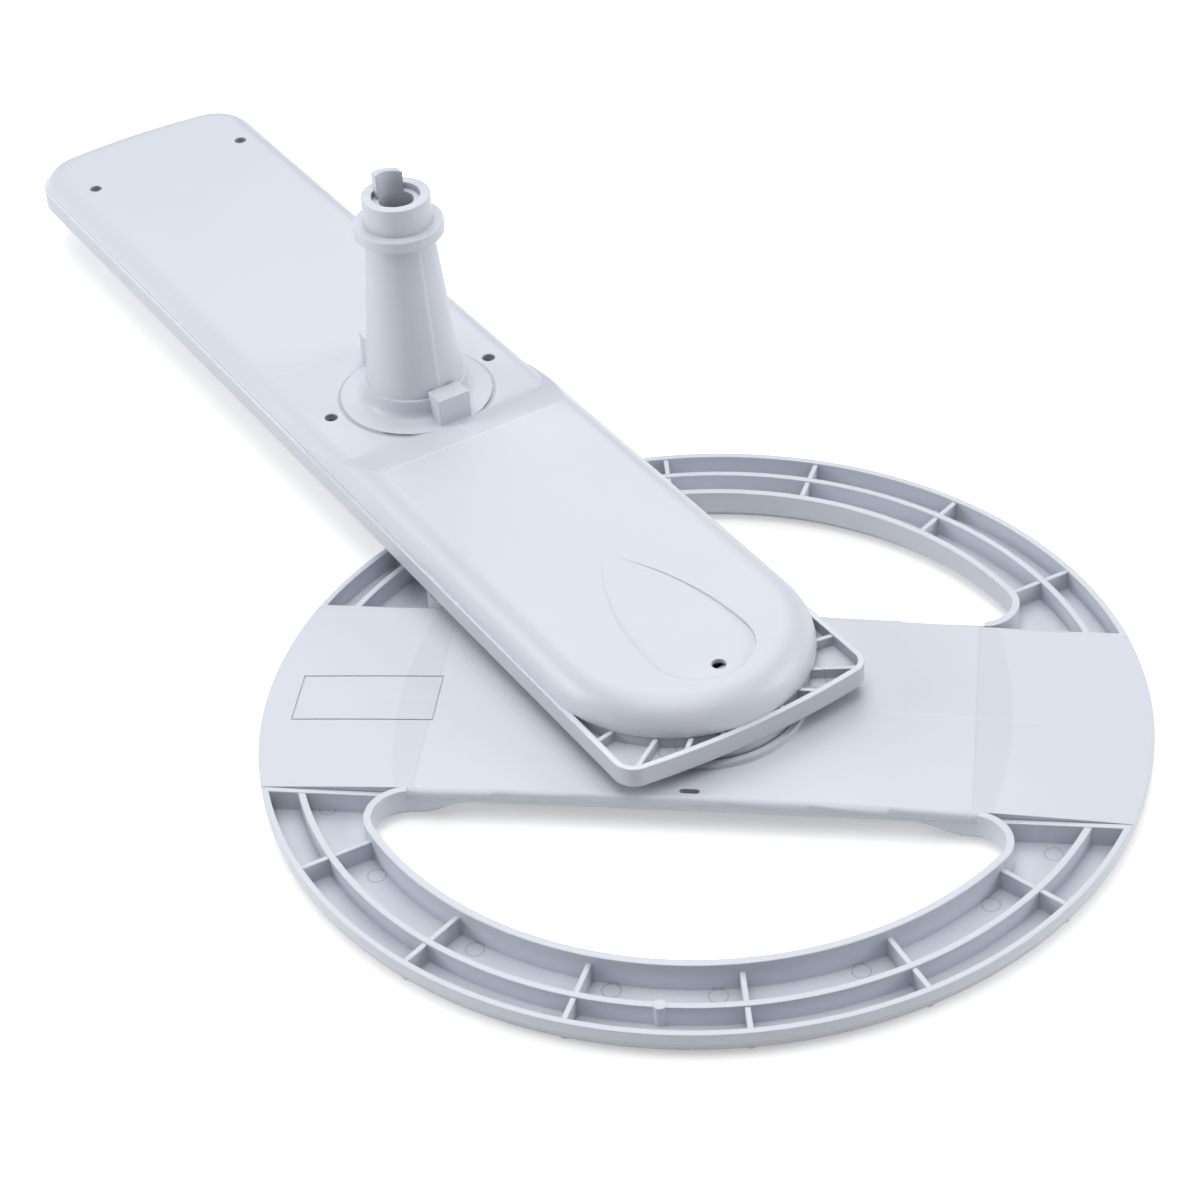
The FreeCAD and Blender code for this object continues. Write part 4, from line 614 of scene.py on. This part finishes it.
COVER = grey_plastic(
    "grey_crossbar_cover", edge_radius=0.25 * MM, pale_edge=0.25,
    marks=cover_marks, true_curve=edge_curve,
)
print("cover edges rounded to", round(EDGE_ROUNDING / MM, 1), "mm, finish", COVER.name)

# %% [markdown]
# Pins and the ring clip are turned and stamped steel. Brushed steel is a metal whose roughness
# runs in fine rings round the axis; noise squeezed along the axis makes such rings cheaply.

# %% Steel
RING_SQUEEZE = 14.0


def brushed_steel():
    finish = Finish("turned_steel")
    stretch = {"Vector": finish.place(), "Scale": (1.0, 1.0, RING_SQUEEZE)}
    rings = finish.noise(finish.node("ShaderNodeMapping", {}, stretch), 1.2 * MM, 3.0)
    finish.set(
        Base_Color=finish.mix(rings, rgb(150, 152, 155), rgb(188, 190, 193)),
        Metallic=1.0,
        Roughness=0.24 + rings * 0.16,
    )
    return finish.material


STEEL = brushed_steel()
print("metal:", STEEL.name)

# %% [markdown]
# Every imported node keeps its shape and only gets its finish. One table of names says which
# finish goes where, so that no node is forgotten: the loop stops on a name without one.

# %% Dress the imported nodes
FINISHES = {
    "arm_stem_shell": STEM_SHELL,
    "arm_nozzle_shell": NOZZLE_SHELL,
    "keyed_sun_shaft": SUN_SHAFT,
    "satellite_cover": COVER,
    "satellite_ring": WHEEL_RING,
    "idler_gear_inner": GEAR,
    "idler_gear_outer": GEAR,
    "satellite_gear": GEAR,
    "hub_bush": BEARING,
    "thrust_washer": BEARING,
    "idler_pin_inner": STEEL,
    "idler_pin_outer": STEEL,
    "hub_clip": STEEL,
}

for node_name, node_object in frame["nodes"].items():
    node_object.data.materials.clear()
    node_object.data.materials.append(FINISHES[node_name])
print("dressed", len(frame["nodes"]), "nodes")

# %% [markdown]
# Where the crossbar meets the wall of an opening, the real wheel has no step: the rounded edge of
# the cover runs on into the wall, and the wall sinks away under the crossbar in a soft curve. The
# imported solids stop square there, so each of the four corners gets two small fillers. A section
# is drawn in lengths along and across the crossbar, and swept by hand with bmesh: a row of
# sections, joined by faces. Mirrored, the same sections serve the other corners.

# %% Sweep for the corner fillers
def crossbar_point(along, across, height):
    """A point given in mm along and across the crossbar, as a place in metres."""
    x = WHEEL_AXIS + along * math.cos(CROSSBAR_ANGLE) - across * math.sin(CROSSBAR_ANGLE)
    y = along * math.sin(CROSSBAR_ANGLE) + across * math.cos(CROSSBAR_ANGLE)
    return Vector((x, y, height)) * MM


def swept(name, sections, end, side):
    """A closed solid through sections of (along, across, height), mirrored to its corner."""
    mesh = bmesh.new()
    rings = []
    for section in sections:
        places = [crossbar_point(end * a, side * b, c) for a, b, c in section]
        rings.append([mesh.verts.new(place) for place in places])
    for ring, following in zip(rings, rings[1:]):
        for index in range(len(ring)):
            after = (index + 1) % len(ring)
            mesh.faces.new((ring[index], ring[after], following[after], following[index]))
    mesh.faces.new(rings[0])
    mesh.faces.new(rings[-1])
    bmesh.ops.recalc_face_normals(mesh, faces=mesh.faces)
    data = bpy.data.meshes.new(name)
    mesh.to_mesh(data)
    mesh.free()
    piece = bpy.data.objects.new(name, data)
    bpy.context.scene.collection.objects.link(piece)
    data.materials.append(WHEEL_RING)
    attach(piece, "satellite")
    return piece


hub = [round(value, 4) for value in crossbar_point(0, 0, 0)]
print("lengths along the crossbar start at", hub)

# %% [markdown]
# The edge filler keeps one section over its short run: the quarter circle of the cover's edge
# with a flat foot. The wall fin is a stub of the wall whose section shrinks along the way. Half a
# cosine wave sets how much of it is left, so it leaves the full wall and runs out without a kink.

# %% Corner fillers of the wheel
WALL_FACE = 34.88
EDGE_PROFILE = [
    (WALL_FACE, -69.6), (WALL_FACE, -69.0), (34.8, -68.6), (34.6, -68.2),
    (34.2, -67.8), (33.6, -67.5), (33.1, -67.42), (33.1, -69.6),
]
EDGE_RUN = (62.95, 65.1)
FIN_START = 63.4
FIN_LENGTH = 14.0
FIN_STEPS = 16
FIN_TOP = -69.5
FIN_FOOT = -69.8
FIN_DROP = 3.4
FIN_THICKNESS = 3.0
FIN_ROOT = (31.9, -71.4)


def fin_section(step):
    """The wall under the crossbar's edge, which shrinks to nothing along the way."""
    share = 0.5 + 0.5 * math.cos(math.pi * step / FIN_STEPS)
    share = 0.02 + 0.97 * share
    along = FIN_START - FIN_LENGTH * step / FIN_STEPS
    drop, inward = FIN_DROP * share, FIN_THICKNESS * share
    return [
        (along, WALL_FACE, FIN_TOP),
        (along, WALL_FACE, FIN_FOOT - drop),
        (along, WALL_FACE - inward, FIN_FOOT - drop - inward),
        (along, *FIN_ROOT),
    ]


edge_sections = [[(along, *point) for point in EDGE_PROFILE] for along in EDGE_RUN]
fin_sections = [fin_section(step) for step in range(FIN_STEPS + 1)]
corner_pieces = []
for end in (1, -1):
    for side in (1, -1):
        tag = f"{'near' if side < 0 else 'far'}_{'right' if end > 0 else 'left'}"
        corner_pieces.append(swept(f"edge_filler_{tag}", edge_sections, end, side))
        corner_pieces.append(swept(f"wall_fin_{tag}", fin_sections, end, side))
print("corner pieces:", len(corner_pieces))

# %% [markdown]
# The wheel rests flat on a plain white floor. A white studio sweep looks white because it is
# brightly lit. Here the lamps stay gentle, so that the plastic keeps its colour, and only what
# the camera and reflections see of the floor is lifted by a little emission. The floor is still
# a diffuse surface, so the soft shadow under the wheel stays.

# %% Floor
FLOOR_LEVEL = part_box("satellite_ring")[0].z
FLOOR_GAP = 0.05 * MM
FLOOR_SIZE = 6.0
FLOOR_GLOW = 0.42
BLACK, WHITE = (0, 0, 0, 1), (1, 1, 1, 1)


def make_floor():
    bpy.ops.mesh.primitive_plane_add(size=FLOOR_SIZE, location=(0, 0, FLOOR_LEVEL - FLOOR_GAP))
    floor = bpy.context.object
    floor.name = "studio_floor"
    finish = Finish("studio_white")
    kinds_of_ray = ("Is Camera Ray", "Is Glossy Ray", "Is Transmission Ray")
    seen = [finish.node("ShaderNodeLightPath", {}, {}, kind) for kind in kinds_of_ray]
    finish.set(
        Base_Color=(0.86, 0.86, 0.86, 1),
        Roughness=0.9,
        Specular_IOR_Level=0.0,
        Emission_Color=finish.mix(sum(seen).between(0.0, 1.0), BLACK, WHITE),
        Emission_Strength=FLOOR_GLOW,
    )
    floor.data.materials.append(finish.material)


make_floor()
print("floor at", round(FLOOR_LEVEL / MM, 2), "mm")

# %% [markdown]
# Pale parts are lit from many sides, so that recesses darken softly and nothing glares. Three
# broad lamps above give the flat faces their level, and the one behind adds the light of a white
# wall. A panel on each side lights the walls and leaves the cone darker in the middle, which
# shows that it is round. The lamps are large and near, so no shadow has a hard edge.

# %% Light
SUBJECT = Vector((0.08, 0.0, -0.05))
LAMPS = [
    # name, place and width in metres, power in watts
    ("overhead_softbox", (-0.25, 0.2, 1.45), 1.5, 8.8),
    ("overhead_near", (0.45, -0.3, 1.4), 1.2, 8.6),
    ("back_wall", (-0.9, 0.56, 1.1), 1.3, 6.0),
    ("left_panel", (-0.55, -1.05, 0.45), 0.8, 7.9),
    ("right_panel", (0.75, 1.05, 0.45), 0.8, 7.2),
]
WORLD_COLOUR = (0.97, 0.985, 1.0, 1)
WORLD_STRENGTH = 0.02


def area_lamp(name, place, width, power):
    """A round lamp that faces the subject."""
    data = bpy.data.lights.new(name, "AREA")
    data.shape = "DISK"
    data.size = width
    data.energy = power
    lamp = bpy.data.objects.new(name, data)
    lamp.location = place
    lamp.rotation_euler = (SUBJECT - Vector(place)).to_track_quat("-Z", "Y").to_euler()
    bpy.context.scene.collection.objects.link(lamp)


def make_world():
    world = bpy.data.worlds.new("studio")
    world.use_nodes = True
    background = world.node_tree.nodes["Background"]
    background.inputs["Color"].default_value = WORLD_COLOUR
    background.inputs["Strength"].default_value = WORLD_STRENGTH
    bpy.context.scene.world = world


make_world()
for lamp_row in LAMPS:
    area_lamp(*lamp_row)
print("lamps:", len(LAMPS), "with", round(sum(lamp_row[-1] for lamp_row in LAMPS), 1), "W together")

# %% [markdown]
# The camera stands where the photographer stood: a long lens about 0.8 m away, looking down at
# the arm from the wheel's end. Its frame is built from where it stands, where it looks and how
# far it is rolled. A small shift of the lens centres the subject as the photograph does.

# %% Camera
CAMERA_PLACE = Vector((591.0, -287.5, 384.2)) * MM
CAMERA_LOOK = Vector((-0.681, 0.398, -0.615)).normalized()
CAMERA_ROLL = math.radians(-3.47)
LENS = 89.5
LENS_SHIFT = (-0.0166, 0.0033)


def make_camera():
    data = bpy.data.cameras.new("camera")
    data.sensor_width = 36.0
    data.lens = LENS
    data.shift_x, data.shift_y = LENS_SHIFT
    data.clip_start = 0.05
    level_right = CAMERA_LOOK.cross(Vector((0, 0, 1))).normalized()
    level_up = level_right.cross(CAMERA_LOOK)
    right = level_right * math.cos(CAMERA_ROLL) + level_up * math.sin(CAMERA_ROLL)
    up = right.cross(CAMERA_LOOK)
    axes = Matrix((right, up, -CAMERA_LOOK)).transposed().to_4x4()
    camera = bpy.data.objects.new("camera", data)
    camera.matrix_world = Matrix.Translation(CAMERA_PLACE) @ axes
    bpy.context.scene.collection.objects.link(camera)
    bpy.context.scene.camera = camera


make_camera()
bpy.context.scene.view_settings.view_transform = "Standard"
print("camera", round((CAMERA_PLACE - SUBJECT).length, 3), "m from the subject")
